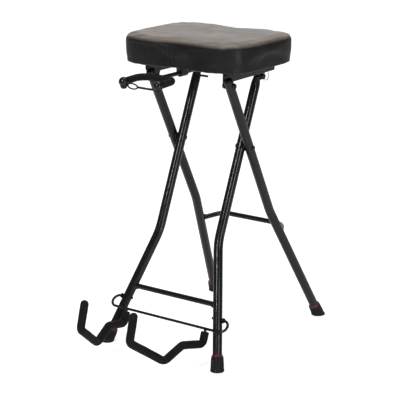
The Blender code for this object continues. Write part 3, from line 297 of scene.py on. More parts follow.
def linked(name, data):
    """An object of some data, in the scene."""
    item = bpy.data.objects.new(name, data)
    bpy.context.scene.collection.objects.link(item)
    return item


def shaded(mesh, sharp):
    """Shade smooth, but keep edges sharper than an angle in degrees."""
    mesh.shade_smooth()
    if sharp:
        mesh.set_sharp_from_angle(angle=math.radians(sharp))


def loose(name, parts, sharp=SHARP):
    """An object whose mesh is made of several parts."""
    verts, faces, offset = [], [], 0
    for part_verts, part_faces in parts:
        verts.append(part_verts)
        for group in part_faces:
            faces.extend((group + offset).tolist())
        offset += len(part_verts)
    mesh = bpy.data.meshes.new(name)
    mesh.from_pydata(np.vstack(verts), [], faces)
    mesh.update()
    shaded(mesh, sharp)
    return linked(name, mesh)


def piece(name, parts, look, body, replaces=(), sharp=SHARP):
    """A finished piece: its mesh, its material, the body that it rides on and the CAD nodes it stands for."""
    item = loose(name, parts, sharp)
    item.data.materials.append(material(look))
    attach(item, body)
    if replaces:
        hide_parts(*replaces)
    return item


def settle(item):
    """Apply an object's modifiers to its mesh."""
    graph = bpy.context.evaluated_depsgraph_get()
    result = bpy.data.meshes.new_from_object(item.evaluated_get(graph))
    item.modifiers.clear()
    item.data = result


def carve(item, *parts):
    """Cut closed parts out of an object with an exact boolean."""
    tool = loose("tool", parts)
    change = item.modifiers.new("carve", "BOOLEAN")
    change.operation = "DIFFERENCE"
    change.solver = "EXACT"
    change.object = tool
    settle(item)
    bpy.data.objects.remove(tool, do_unlink=True)
    shaded(item.data, SHARP)


def soften(item, width, limit=50):
    """Round an object's edges with a bevel and apply it."""
    change = item.modifiers.new("edge", "BEVEL")
    change.width = width
    change.segments = 2
    change.limit_method = "ANGLE"
    change.angle_limit = math.radians(limit)
    settle(item)
    shaded(item.data, 60)


def smooth(low, high, value):
    """0 below low, 1 above high, and 3t^2 - 2t^3 between."""
    t = np.clip((np.asarray(value, float) - low) / (high - low), 0, 1)
    return t * t * (3 - 2 * t)


def bell(value, width):
    """exp(-(value / width)^2)."""
    return np.exp(-(np.asarray(value, float) / width) ** 2)


def bent(corners, radii, step=0.006, arc_step=0.0015):
    """Points along a polyline whose inner corners are arcs of the given radii, in even steps."""
    corners = [np.asarray(corner, float) for corner in corners]
    runs = []
    last = corners[0]
    for before, here, after, radius in zip(corners, corners[1:], corners[2:], radii):
        a, b = unit(before - here), unit(after - here)
        half = math.acos(float(a @ b)) / 2
        reach = radius / math.tan(half)
        centre = here + unit(a + b) * (radius / math.sin(half))
        first, second = here + a * reach - centre, here + b * reach - centre
        turn = math.pi - 2 * half
        count = max(4, int(turn * radius / arc_step))
        t = np.linspace(0, 1, count)[:, None]
        arc = centre + (first * np.sin((1 - t) * turn) + second * np.sin(t * turn)) / math.sin(turn)
        runs += [straight(last, arc[0], step)[:-1], arc[:-1]]
        last = arc[-1]
    runs.append(straight(last, corners[-1], step))
    return np.vstack(runs)


def straight(start, end, step):
    """Evenly spaced points from start to end."""
    start, end = np.asarray(start, float), np.asarray(end, float)
    count = max(2, int(np.linalg.norm(end - start) / step) + 1)
    return start + (end - start) * np.linspace(0, 1, count)[:, None]


def run_length(path):
    """Distance along a path at each of its points."""
    return np.concatenate([[0], np.cumsum(np.linalg.norm(np.diff(path, axis=0), axis=1))])


def trimmed(path, start, end):
    """The path without its first and last lengths."""
    s = run_length(path)
    keep = (s > start + 1e-6) & (s < s[-1] - end - 1e-6)
    ends = [[np.interp(at, s, path[:, k]) for k in range(3)] for at in (start, s[-1] - end)]
    return np.vstack([ends[0], path[keep], ends[1]])


def turns(count, shift=0.0):
    """Even angles of a full turn, begun a share of a step on."""
    return TURN * (np.arange(count) + shift) / count


def normals(axis, hint):
    """Two normals of an axis: the hint less its share along the axis, and theirs."""
    first = unit(hint - axis * (hint @ axis))
    return first, np.cross(axis, first)


def axes_along(path, hint):
    """Tangent by differences of neighbours, and two normals: the hint less its share along it, and theirs."""
    tangent = unit(np.gradient(path, axis=0))
    tangent[0], tangent[-1] = unit(path[1] - path[0]), unit(path[-1] - path[-2])
    first = unit(hint - tangent * (tangent @ hint)[:, None])
    return tangent, first, np.cross(tangent, first)


def circled(centres, radius, phi, first, second):
    """Circle points: centre + radius cos(phi) first + radius sin(phi) second."""
    return centres + (radius * np.cos(phi))[..., None] * first + (radius * np.sin(phi))[..., None] * second


def ringed(centres, first, second, a, b, power, sides):
    """Superellipse sections: centre + a c first + b s second, with c and s the powered cosine and sine."""
    phi = turns(sides, 0.5)
    c, s = (np.sign(wave) * np.abs(wave) ** (2 / power) for wave in (np.cos(phi), np.sin(phi)))
    a, b = np.reshape(a, (-1, 1)) * c, np.reshape(b, (-1, 1)) * s
    first, second = np.reshape(first, (-1, 1, 3)), np.reshape(second, (-1, 1, 3))
    return centres[:, None] + a[..., None] * first + b[..., None] * second


def swept(path, hint, a, b, power, sides):
    """Superellipse sections along a path, closed at both ends."""
    first, second = axes_along(path, hint)[1:]
    return closed(ringed(path, first, second, a, b, power, sides))


def rounded_ends(path, radius, rim, steps=5):
    """A path and its radii with quarter-round rims of the given radius at both ends."""
    radius = np.broadcast_to(np.asarray(radius, float), len(path))
    turn = np.linspace(0, math.pi / 2, steps)[:-1]
    back, draw = rim * (1 - np.cos(turn)), rim * (1 - np.sin(turn))
    lead, tail = unit(path[1] - path[0]), unit(path[-1] - path[-2])
    inner = trimmed(path, rim, rim)
    s = run_length(path)
    kept = np.interp(np.linspace(rim, s[-1] - rim, 2), s, radius)
    radii = np.concatenate([[kept[0]], radius[(s > rim + 1e-6) & (s < s[-1] - rim - 1e-6)], [kept[1]]])
    path = np.vstack([path[0] + back[:, None] * lead, inner, path[-1] - back[::-1, None] * tail])
    return path, np.concatenate([kept[0] - draw, radii, kept[1] - draw[::-1]])


def rod(path, radius, hint, sides=40, rim=0.0006):
    """A round rod along a path with softly rounded ends."""
    path, radii = rounded_ends(np.asarray(path, float), radius, rim)
    return swept(path, hint, radii, radii, 2, sides)


def turned(profile, origin, axis, sides=40, loop=False):
    """A profile of (place along the axis, radius) turned round the axis."""
    profile = np.asarray(profile, float)
    axis = unit(axis)
    first, second = normals(axis, X if abs(axis[2]) > 0.9 else Z)
    centres = np.asarray(origin, float) + profile[:, :1] * axis
    points = ringed(centres, first, second, profile[:, 1], profile[:, 1], 2, sides)
    return outward(surface(points, loop=True)) if loop else closed(points)


def eased(profile, radius, steps=4):
    """A profile whose inner corners are rounded: each becomes a curve (1-t)^2 A + 2t(1-t) B + t^2 C."""
    profile = np.asarray(profile, float)
    rows = [profile[:1]]
    t = np.linspace(0, 1, steps)[:, None]
    for before, here, after in zip(profile, profile[1:], profile[2:]):
        a, b = before - here, after - here
        la, lb = np.linalg.norm(a), np.linalg.norm(b)
        a, b = here + a / la * min(radius, la / 2), here + b / lb * min(radius, lb / 2)
        rows.append((1 - t) ** 2 * a + 2 * t * (1 - t) * here + t ** 2 * b)
    rows.append(profile[-1:])
    return np.vstack(rows)


def prism(outline, at, low, high):
    """A closed outline (n, 2) carried straight from one place to another, with flat ends."""
    verts, faces = surface(np.stack([at(outline, low), at(outline, high)]))
    ends = np.arange(len(outline))
    return outward((verts, [*faces, ends[None, ::-1], (ends + len(outline))[None]]))


# Frame

def plane_point(up, z, x):
    """Point of a folding frame's plane at height z and place x."""
    return PIVOT + up * ((z - PIVOT[2]) / up[2]) + X * x


def course(up, knee_z, half, foot, sign):
    """Foot, knee and direction of a lower leg."""
    low = plane_point(up, 0, sign * foot[0])
    knee = plane_point(up, knee_z, sign * half)
    return low, knee, unit(knee - low)


def front_course(sizes, sign):
    """Lower part of a front leg."""
    return course(FRONT_UP, sizes.front_knee, sizes.front_half, FRONT_FOOT, sign)


def rear_course(sizes, sign):
    """Lower part of a rear leg."""
    return course(REAR_UP, sizes.rear_knee, sizes.rear_half, REAR_FOOT, sign)


def leg_at(leg, z):
    """Centre of a lower leg at height z."""
    low, _, along = leg
    return low + along * (z / along[2])


def rear_leg(sizes, side, sign):
    """Circles carried along a straight, an arc and a straight; a domed cap of their radius closes the top."""
    above_bolt, under_cap = 0.017, 0.002
    low, knee, along = rear_course(sizes, sign)
    top = REAR_TOP + X * sign * sizes.rear_half + REAR_UP * above_bolt
    path = bent([low + along * TUBE_START, knee, top - REAR_UP * under_cap], [sizes.knee_radius])
    tube = rod(path, sizes.tube_radius, REAR_NORMAL, 56, 0.0008)
    piece(f"rear_tube_{side}", [tube], "paint", "rear_frame", [f"rear_leg_{side}"])
    cap = eased([(-0.009, 0.0088), (-0.0019, 0.0088), (-0.0019, 0.0107), (-0.0003, 0.0104), (0, 0.0082),
                 (0, 0.0001)], 0.0007)
    piece(f"rear_tube_cap_{side}", [turned(cap, top, REAR_UP, 48)], "plastic", "rear_frame")


def front_leg(sizes, side, sign):
    """Circles pressed flat towards the top: each section's thickness is the soft lesser of the circle's own
    and a pair of planes that close in along the taper, its width grows, and a slot is cut to the pin."""
    low, knee, along = front_course(sizes, sign)
    pin = FRONT_PIN + X * sign * sizes.front_half
    end = pin + FRONT_UP * sizes.tab_end
    path = bent([low + along * TUBE_START, knee, end], [sizes.knee_radius], step=0.0014)
    s = (path - pin) @ FRONT_UP
    r, taper_foot = sizes.tube_radius, -sizes.tab_flat - sizes.tab_taper
    free = r * 1.04
    planes = np.interp(s, (taper_foot, -sizes.tab_flat), (free, sizes.tab_thick / 2))
    planes = np.where(s < taper_foot, free + (taper_foot - s) * 0.5, planes)
    flat = smooth(taper_foot, -sizes.tab_flat, s)
    corner, corner_draw = 0.0055, 0.0045
    over = np.clip((s - sizes.tab_end + corner) / corner, 0, 1)
    wide = r + (sizes.tab_half - r) * flat - corner_draw * (1 - np.sqrt(1 - over ** 2 * 0.98))
    phi = turns(96, 0.5)
    full = r * np.abs(np.sin(phi))[None] + 1e-6
    sharp = 9
    thick = (full ** -sharp + planes[:, None] ** -sharp) ** (-1 / sharp) * np.sign(np.sin(phi))
    first, second = axes_along(path, FRONT_NORMAL)[1:]
    points = path[:, None] + (wide[:, None] * np.cos(phi))[..., None] * first[:, None]
    points = points + thick[..., None] * second[:, None]
    item = piece(f"front_tube_{side}", [closed(points)], "paint", "front_frame",
                 [f"front_leg_{side}"])
    turn = np.linspace(math.pi, TURN, 17)
    slot, reach = 0.00435, sizes.tab_end + 0.004
    outline = np.stack([slot * np.cos(turn), slot * np.sin(turn)], 1)
    outline = np.vstack([outline, [[slot * 1.6, reach], [-slot * 1.6, reach]]])

    def at(p, x):
        return pin + X * x + p[:, :1] * FRONT_NORMAL + p[:, 1:] * FRONT_UP

    carve(item, prism(outline, at, -0.02, 0.02))
    if side == "left":
        centre = pin - FRONT_UP * sizes.top_bolt_drop
        for way in (1, -1):
            flat_at = centre + X * way * sizes.top_bolt_seat
            carve(item, turned([(0, 0.0047), (0.012, 0.0047)], flat_at, X * way))


def weld(sizes, leg, centre, lead):
    """Bead along the curve where a crossbar's cylinder meets the leg's, its radius rippled by |sin|."""
    along, ripples = leg[2], 11
    phi = turns(132)
    first, second = normals(lead, Z)
    r = sizes.bar_radius + sizes.weld * 0.25
    q = r * (np.cos(phi)[:, None] * first + np.sin(phi)[:, None] * second)
    tilt, lean = lead @ along, q @ along
    wall = (sizes.tube_radius + sizes.weld * 0.2) ** 2
    b = 2 * lean * tilt
    c = r ** 2 - lean ** 2 - wall
    t = (-b + np.sqrt(b * b - 4 * (1 - tilt ** 2) * c)) / (2 * (1 - tilt ** 2))
    path = centre + q + lead * t[:, None]
    tangent, away = unit(np.roll(path, -1, 0) - np.roll(path, 1, 0)), unit(q)
    radii = sizes.weld * (0.82 + 0.28 * np.abs(np.sin(phi * ripples)) ** 0.6)
    points = ringed(path, away, np.cross(tangent, away), radii, radii, 2, 12)
    return outward(surface(points, loop=True))


def crossbars(sizes):
    """A straight rod and a rod bowed to the rear between the legs, each with rippled beads at its ends."""
    legs = [front_course(sizes, sign) for _, sign in SIDES]
    ends = [leg_at(leg, sizes.front_bar) for leg in legs]
    parts = [rod(straight(ends[0], ends[1], 0.008), sizes.bar_radius, Z)]
    parts += [weld(sizes, leg, end, X * -sign) for leg, end, (_, sign) in zip(legs, ends, SIDES)]
    piece("front_bar", parts, "paint", "front_frame", ["front_crossbar"])
    legs = [rear_course(sizes, sign) for _, sign in SIDES]
    ends = [leg_at(leg, sizes.rear_bar) for leg in legs]
    offset = np.array((sizes.rear_bar_inset, sizes.rear_bar_bow, sizes.rear_bar_rise))
    inner = [ends[0] + offset, ends[1] + offset * (-1, 1, 1)]
    bend = 0.034
    parts = [rod(bent([ends[0], *inner, ends[1]], [bend, bend]), sizes.bar_radius, Z)]
    parts += [weld(sizes, leg, end, unit(corner - end)) for leg, end, corner in zip(legs, ends, inner)]
    piece("rear_bar", parts, "paint", "rear_frame", ["rear_crossbar"])


def boot(sizes, tag, side, body, leg):
    """Ribbed boot: radius falls from base to rim, less a groove depth times 1 - |cos|^p; its rows turn from
    the floor's plane, or at the front three quarters of the way to it, to the leg's cross-section, and what
    would lie under the floor is pressed up to it."""
    low, _, along = leg
    first = unit(np.cross(X, along))
    second = np.cross(along, first)
    height, base, top = sizes.height, sizes.base_radius, sizes.top_radius
    outer = eased([(0.0, base - 0.0009), (0.0009, base), (0.0052, base), (0.0060, base - 0.0006),
                   (height - 0.0030, top), (height - 0.0008, top - 0.0002), (height, top - 0.0009),
                   (height, BOOT_BORE)], 0.0008, 4)
    shelf = 0.017
    inner = np.array([(shelf, 0.01165), (shelf, 0.0001)])
    between = np.linspace(0, 1, 9)[1:-1, None]
    ribs_from = 0.012
    ribbed = int(np.argmax(outer[:, 0] > ribs_from))
    gap = outer[ribbed - 1] + (outer[ribbed] - outer[ribbed - 1]) * between
    profile = np.vstack([outer[:ribbed], gap, outer[ribbed:], inner])
    phi = turns(sizes.ribs * 8)
    s, radius = profile[:, :1], profile[:, 1:]
    shown = smooth(0.0056, 0.0072, s) * (1 - smooth(height - 0.0042, height - 0.0028, s))
    radius = radius - shown * sizes.rib * (1 - np.abs(np.cos(phi * sizes.ribs / 2)) ** 1.4)
    points = circled(low + s[..., None] * along, radius, phi, first, second)
    level = points - along * (points[..., 2:] / along[2]) + along * s[..., None]
    levelled = 0.75 if tag == "front" else 1.0
    points = points + (level - points) * levelled * (1 - smooth(0.004, 0.014, s)[..., None])
    z = points[..., 2:]
    points = points + along * ((np.maximum(z, 0) - z) / along[2])
    piece(f"{tag}_boot_{side}", [closed(points)], "rubber", body, [f"{tag}_foot_{side}"])
    r, h = sizes.ring_radius, sizes.ring_height
    collar = eased([(0, BOOT_BORE), (0, r - 0.0006), (0.0008, r), (0.0024, r - 0.0002), (h - 0.0006, 0.0124),
                    (h, 0.0120), (h, BOOT_BORE)], 0.0009, 5)
    ring = turned(collar, low + along * (height + CLEARANCE), along, 56, loop=True)
    piece(f"{tag}_collar_{side}", [ring], "red", body, [f"{tag}_foot_ring_{side}"])


# Fasteners

def dome(start, axis, radius, height, sides=44):
    """Low round head: a cylinder edge and a cap of height (1 - r^2.4)^0.8."""
    edge = height * 0.42
    r = np.linspace(0.97, 0.02, 10)
    cap = np.stack([edge + (height - edge) * (1 - r ** 2.4) ** 0.8, radius * r], 1)
    profile = [(0, radius * 0.985), (0.0004, radius), (edge * 0.9, radius)]
    return turned(np.vstack([profile, cap]), start, axis, sides)


def hexed(start, axis, across, height, hint=Z):
    """Nut: radius is the lesser of a / cos(p), p the angle from a flat's middle, and a chamfer cone's."""
    axis = unit(axis)
    phi = turns(72)
    flat = np.mod(phi + math.pi / 6, math.pi / 3) - math.pi / 6
    a = across / 2
    chamfer = a * 0.08
    rows = np.array([0, 0.25, 0.6, 1, 0, 0.4, 0.7, 1])
    level = np.concatenate([rows[:4] * chamfer, height - (1 - rows[4:]) * chamfer])
    limit = a * 0.97 + np.concatenate([rows[:4], 1 - rows[4:]]) * a * 0.2
    radius = np.minimum((a / np.cos(flat))[None], limit[:, None])
    return closed(circled(start + level[:, None, None] * axis, radius, phi, *normals(axis, hint)))


def thread_end(start, axis, radius, length):
    """Bolt end: a cylinder with shallow rings, cos of its length, and a chamfer."""
    pitch, depth, chamfer = 0.0011, 0.00022, 0.0006
    s = np.linspace(0, length, max(12, int(length / 0.00018)))
    r = radius - depth * (0.5 - 0.5 * np.cos(TURN * s / pitch))
    r = np.minimum(r, radius - chamfer + np.minimum(chamfer, length - s))
    return turned(np.stack([s, r], 1), start, axis, 32)


def cross_head(start, axis, radius, height):
    """Pan head with a cross recess: depth times a step of the lesser plan distance and of the radius."""
    axis = unit(axis)
    first = unit(np.cross(axis, Y) if abs(axis[1]) < 0.9 else np.cross(axis, X))
    second = np.cross(axis, first)
    phi = turns(48)
    r = np.linspace(0.82, 0.04, 16)
    level = np.concatenate([[0, 0.35, 0.55, 0.72, 0.85], 0.88 + 0.12 * (1 - r ** 2)])
    r = np.concatenate([[1, 1, 0.99, 0.96, 0.9], r])
    u, v = r[:, None] * np.cos(phi), r[:, None] * np.sin(phi)
    near = np.minimum(np.abs(u), np.abs(v))
    sunk = (1 - smooth(0.1, 0.17, near)) * (1 - smooth(0.45, 0.56, r))[:, None]
    h = height * (level[:, None] - 0.55 * sunk)
    return closed(start + h[..., None] * axis + radius * (u[..., None] * first + v[..., None] * second))


def frame_bolts(sizes):
    """Flat scissor rivets with their washers, and the bolt through the left front leg's top."""
    for side, sign in SIDES:
        out = X * sign
        head = PIVOT + out * (sizes.front_half - sizes.tube_radius - CLEARANCE)
        tail = PIVOT + out * (sizes.rear_half + sizes.tube_radius + CLEARANCE)
        shank = rod(straight(head, tail, 0.01), 0.004, Z, 24)
        parts = [dome(head, -out, 0.0062, 0.0016), shank, dome(tail, out, 0.0062, 0.0016),
                 dome(tail + out * 0.0013, out, 0.0032, 0.0011, 28)]
        piece(f"scissor_fastener_{side}", parts, "oxide", "rear_frame", [f"scissor_bolt_{side}"])
        between = PIVOT + out * (sizes.front_half + sizes.tube_radius + CLEARANCE)
        washer = eased([(0, 0.0044), (0, 0.0095), (0.0024, 0.0095), (0.0024, 0.0044)], 0.0005)
        washer = turned(washer, between, out, 44, loop=True)
        piece(f"scissor_washer_{side}", [washer], "plastic", "rear_frame",
              [f"scissor_spacer_{side}"])
    centre = FRONT_PIN - FRONT_UP * sizes.top_bolt_drop - X * sizes.front_half
    radius, face = 0.0028, sizes.top_bolt_seat + 0.0002
    parts = [dome(centre - X * face, -X, 0.0042, 0.0028, 32), hexed(centre + X * face, X, 0.0076, 0.003),
             rod(straight(centre - X * face, centre + X * face, 0.004), radius, Z, 24),
             thread_end(centre + X * (face + 0.002), X, radius, sizes.top_bolt_end - face - 0.002)]
    piece("leg_top_fastener", parts, "oxide", "front_frame", ["leg_top_bolt"])


# Cradle

def rod_place(frame_sizes, sizes):
    """Where the cradle's rod lies: on the front of the front legs."""
    offset = frame_sizes.tube_radius + sizes.wire_radius + CLEARANCE
    z = CRADLE_AXIS[2] - sizes.rod_drop
    return plane_point(FRONT_UP, z - FRONT_NORMAL[2] * offset, 0) + FRONT_NORMAL * offset


def cradle_wire(frame_sizes, sizes):
    """One wire: a straight rod, a half circle at each end and straight ends that turn in the legs."""
    rod_at = rod_place(frame_sizes, sizes)
    leg = front_course(frame_sizes, 1)
    leg_x = leg_at(leg, CRADLE_AXIS[2])[0]
    half = np.linalg.norm(CRADLE_AXIS - rod_at) / 2
    centre = (CRADLE_AXIS + rod_at) / 2
    rise = unit(CRADLE_AXIS - rod_at)
    turn = np.linspace(0, math.pi, 29)
    x = leg_x + sizes.loop_out + half * np.sin(turn)
    loop = centre + x[:, None] * X - (half * np.cos(turn))[:, None] * rise
    end_x = leg_x - frame_sizes.tube_radius / FRONT_UP[2] - 0.0035
    tail = straight(loop[-1], CRADLE_AXIS + X * end_x, 0.004)[1:]
    right = np.vstack([loop, tail])
    left = (right * (-1, 1, 1))[::-1]
    path = np.vstack([left[:-1], straight(left[-1], right[0], 0.008), right[1:]])
    wire = rod(path, sizes.wire_radius, FRONT_NORMAL, 28, 0.0009)
    piece("cradle_rod", [wire], "paint", "cradle", ["cradle_wire"])
    slope = -leg[2][0] / leg[2][2]
    for side, sign in SIDES:
        start = leg_x + frame_sizes.tube_radius * math.hypot(1, slope) + 0.0064 * slope + 0.0012
        profile = eased([(0, 0.0036), (0, 0.0064), (0.0013, 0.0064), (0.0019, 0.0057), (0.0025, 0.0064),
                         (0.004, 0.0060), (0.004, 0.0036)], 0.0005)
        collar = turned(profile, CRADLE_AXIS + X * sign * start, X * sign, 40, loop=True)
        piece(f"cradle_grommet_{side}", [collar], "rubber", "cradle", [f"cradle_bush_{side}"])


HOOK_POINTS = np.array([(0, 0.013, -0.035), (0.0088, 0.083, -0.0174), (0.0195, 0.140, -0.0415),
                        (0.0475, 0.233, 0.0278), (0.0475, 0.215, 0.092)])
HOOK_BENDS = (0.012, 0.021, 0.021, 0.015)
FOAM_GAP = 0.0004


def hook(frame_sizes, sizes, side, sign):
    """A rod along a bent path and a foam sleeve round it: its radius dips in small folds inside the bends."""
    rod_at = rod_place(frame_sizes, sizes)
    x = leg_at(front_course(frame_sizes, 1), CRADLE_AXIS[2])[0] - sizes.hook_inset
    points = np.stack([sign * (x - HOOK_POINTS[:, 0]), rod_at[1] - HOOK_POINTS[:, 1],
                       rod_at[2] + HOOK_POINTS[:, 2]], 1)
    root = rod_at + X * sign * x
    away = unit(points[0] - root)
    start = root + away * (sizes.wire_radius * 0.6)
    path = bent([start, *points], HOOK_BENDS, step=0.0018, arc_step=0.0011)
    core = rod(trimmed(path, 0, 0.009), sizes.core_radius, X, 28)
    bead = eased([(-0.0008, 0.0006), (0, 0.0047), (0.0014, 0.0044), (0.0030, 0.0033), (0.0034, 0.0031)],
                 0.0008)
    piece(f"hook_rod_{side}", [core, turned(bead, start, away, 36)], "paint", "cradle",
          [f"hook_core_{side}"])
    bare_root, bare_tip = 0.0052, 0.0067
    foam = foam_sleeve(trimmed(path, bare_root, bare_tip), sizes.foam_radius, sizes.core_radius + FOAM_GAP, X,
                       rounded_tip=True, seed=sign)
    item = piece(f"hook_sleeve_{side}", [foam], "foam", "cradle", [f"hook_foam_{side}"], sharp=60)


def foam_sleeve(path, radius, bore, hint, rounded_tip, seed):
    """Sleeve: radius R less folds inside the bends, 1 + cos of the length times the bend's sharpness, and
    slow waves."""
    sides, rim, fold_pitch, fold_depth = 60, 0.0019, 0.0058, 0.0021
    tangent, first, second = axes_along(path, hint)
    s = run_length(path)
    bend = np.gradient(tangent, axis=0) / np.gradient(s)[:, None]
    phi = turns(sides, 0.5)
    along_first, along_second = ((bend * normal).sum(1)[:, None] for normal in (first, second))
    facing = np.cos(phi)[None] * along_first + np.sin(phi)[None] * along_second
    inside = np.clip(facing * radius, 0, 0.5)
    fold = 0.5 + 0.5 * np.cos(TURN * s / fold_pitch + 1.3 * seed + 0.8 * np.sin(s * 190))[:, None]
    wave = 0.00016 * np.sin(s * 61 + seed)[:, None] * np.cos(phi + s[:, None] * 23)
    wave = wave + 0.0001 * np.sin(s * 143)[:, None]
    r = radius - fold_depth * inside * fold + wave - 0.00016
    lip = np.clip(1 - (s if rounded_tip else np.minimum(s, s[-1] - s)) / rim, 0, 1)
    r = r - rim * (1 - np.sqrt(1 - lip ** 2))[:, None]
    points = circled(path[:, None], r, phi, first[:, None], second[:, None])

    def bored(rows):
        return ringed(path[rows], first[rows], second[rows], bore, bore, 2, sides)

    if not rounded_tip:
        return outward(surface(np.vstack([points, bored(slice(None, None, -1))]), loop=True))
    turn = np.linspace(0, math.pi / 2, 14)[1:-1]
    cap = (path[-1] + (radius * np.sin(turn))[:, None] * tangent[-1])[:, None]
    cap = circled(cap, np.cos(turn)[:, None] ** 0.85 * r[-1], phi, first[-1], second[-1])
    return closed(np.vstack([bored([3]), bored([0]), points, cap]), path[-1] + tangent[-1] * radius)


# Seat

SEAT_SPAN = (0.358, 0.290)
SEAT_MIDDLE_Y = float((SEAT_LOW[1] + SEAT_HIGH[1]) / 2)
SEAT_UNDER = float(BOARD_LOW[2])
SEAT_SIDE = SEAT_UNDER + 0.063
STITCH_AWAY = 0.0065
LAST_FRAME = 20


def outline_point(sizes, grid, inset):
    """Superellipse point of each place in a square of -1 to 1, drawn in by an inset and at the waist."""
    a, b = SEAT_SPAN[0] / 2 - inset, SEAT_SPAN[1] / 2 - inset
    p, q = grid[..., 0], grid[..., 1]
    n = sizes.power
    most = np.maximum(np.maximum(np.abs(p), np.abs(q)), 1e-9)
    out = most / (np.abs(p) ** n + np.abs(q) ** n + 1e-30) ** (1 / n)
    x, y = a * p * out, b * q * out
    y = y * (1 - sizes.waist / b * np.exp(-(x / (a * sizes.waist_share)) ** 2))
    return np.stack([x, y + SEAT_MIDDLE_Y], -1)


def even(n):
    """Even places from -1 to 1."""
    return np.linspace(-1, 1, n + 1)


def seat_columns(sizes, n):
    """Places across: even, but closer at the band's joint."""
    t = np.linspace(-1, 1, 2001)
    at = sizes.joint_x / (SEAT_SPAN[0] / 2)
    density = 1 + 6.5 * bell(t - at, 0.055)
    total = np.concatenate([[0], np.cumsum((density[1:] + density[:-1]) / 2)])
    return np.interp(np.linspace(0, total[-1], n + 1), total, t)


def boundary(across, along):
    """Places round the square's edge, counterclockwise from the front left corner."""
    low = np.full(len(across) - 1, -1.0)
    front = np.stack([across[:-1], low], 1)
    right = np.stack([-low, along[:-1]], 1)
    rear = np.stack([across[:0:-1], -low], 1)
    left = np.stack([low, along[:0:-1]], 1)
    return np.vstack([front, right, rear, left])


def capped(rings, inner, n):
    """Quads between rings of 4n points, a fan at the first ring and a square grid inside the last."""
    rows = len(rings)
    index = np.arange(rows * 4 * n).reshape(rows, 4 * n)
    wrap = np.hstack([index, index[:, :1]])
    quads = np.stack([wrap[:-1, :-1], wrap[:-1, 1:], wrap[1:, 1:], wrap[1:, :-1]], -1).reshape(-1, 4)
    grid = np.zeros((n + 1, n + 1), int)
    edge = index[-1]
    grid[0, :-1], grid[:-1, -1] = edge[:n], edge[n:2 * n]
    grid[-1, :0:-1], grid[:0:-1, 0] = edge[2 * n:3 * n], edge[3 * n:]
    grid[1:-1, 1:-1] = rows * 4 * n + np.arange((n - 1) ** 2).reshape(n - 1, n - 1)
    cells = np.stack([grid[:-1, :-1], grid[:-1, 1:], grid[1:, 1:], grid[1:, :-1]], -1).reshape(-1, 4)
    verts = np.vstack([rings.reshape(-1, 3), inner.reshape(-1, 3), rings[0].mean(axis=0)])
    tip = np.full(4 * n, len(verts) - 1)
    return verts, [quads, cells, np.stack([wrap[0, 1:], wrap[0, :-1], tip], -1)]


def seat_sections(sizes):
    """Inset and height of each row: from the recess over the board round the edge and up to the rim."""
    seam, under = SEAT_SIDE - sizes.seam_drop, SEAT_UNDER - CLEARANCE
    board_inset, edge = 0.0071, 0.0105
    rows = [(board_inset, SEAT_UNDER + 0.0103), (board_inset, SEAT_UNDER + 0.0001),
            (sizes.margin, SEAT_UNDER - 0.00004), (sizes.margin + 0.0002, under)]
    rows += [(inset, under) for inset in np.linspace(sizes.margin - 0.001, edge, 5)]
    turn = np.linspace(0, math.pi, 11)[1:-1]
    roll = np.stack([0.0045 + 0.0045 * np.cos(turn), under - sizes.skirt * np.sin(turn) ** 0.8], 1)
    rows += list(roll) + [(0.0001, under + 0.0012), (0.0, under + 0.0035)]
    rows += [(0.0, z) for z in np.linspace(under + 0.0065, seam - 0.003, 15)]
    rows += [(0.0001, seam - 0.0015), (0.0005, seam - 0.0005), (0.0007, seam + 0.0001),
             (0.0003, seam + 0.0007), (0.0001, seam + 0.0018)]
    r = sizes.edge_round
    turn = np.linspace(0, math.pi / 2, 9)
    rise = SEAT_SIDE - r + r * np.sin(turn) + 0.0004 * np.sin(turn)
    rows += list(np.stack([r - r * np.cos(turn), rise], 1))
    return np.array(rows)


def top_height(sizes, x, y):
    """Height of the top: a crown, (1 - u^2)(1 - v^2) to the power 0.8, and a saddle u^2."""
    u = x / (SEAT_SPAN[0] / 2 - 0.008)
    v = (y - SEAT_MIDDLE_Y) / (SEAT_SPAN[1] / 2 - 0.008)
    crown = np.clip(1 - u ** 2, 0, 1) * np.clip(1 - v ** 2, 0, 1)
    return SEAT_SIDE + 0.0004 + sizes.crown * crown ** 0.8 + sizes.saddle * np.clip(u ** 2, 0, 1)


def cushion(sizes):
    """Seat pad: sections carried round a waisted superellipse, its panels swollen by cloth under pressure
    between the pinned seam and underside, then puckers and a sewn joint added along the normals."""
    n = 72
    across, along = seat_columns(sizes, n), even(n)
    edge = boundary(across, along)
    sections = seat_sections(sizes)
    rings = []
    for inset, z in sections:
        plan = outline_point(sizes, edge, inset)
        lift = sizes.saddle * (plan[:, 0] / (SEAT_SPAN[0] / 2)) ** 2 * smooth(SEAT_SIDE - 0.008, SEAT_SIDE, z)
        rings.append(np.column_stack([plan, z + lift]))
    rings = np.array(rings)
    inset = sections[-1, 0]
    grid = np.stack(np.meshgrid(across[1:-1], along[1:-1]), -1)
    plan = outline_point(sizes, grid, inset)
    inner = np.concatenate([plan, top_height(sizes, plan[..., 0], plan[..., 1])[..., None]], -1)
    part = capped(rings, inner, n)
    item = piece("seat_pad", [part], "vinyl", "seat", ["seat_cushion"], sharp=0)
    count = 4 * n
    seam = int(np.argmin(np.abs(sections[:, 1] - (SEAT_SIDE - sizes.seam_drop))))
    first_free = int(np.argmax(sections[:, 1] > SEAT_UNDER + 0.006))
    weight = np.zeros(len(part[0]))
    weight[:first_free * count] = 1
    weight[(seam - 1) * count:(seam + 2) * count] = 1
    inflate(item, weight, sizes.swell)
    finish_pad(item, sizes)
    return item


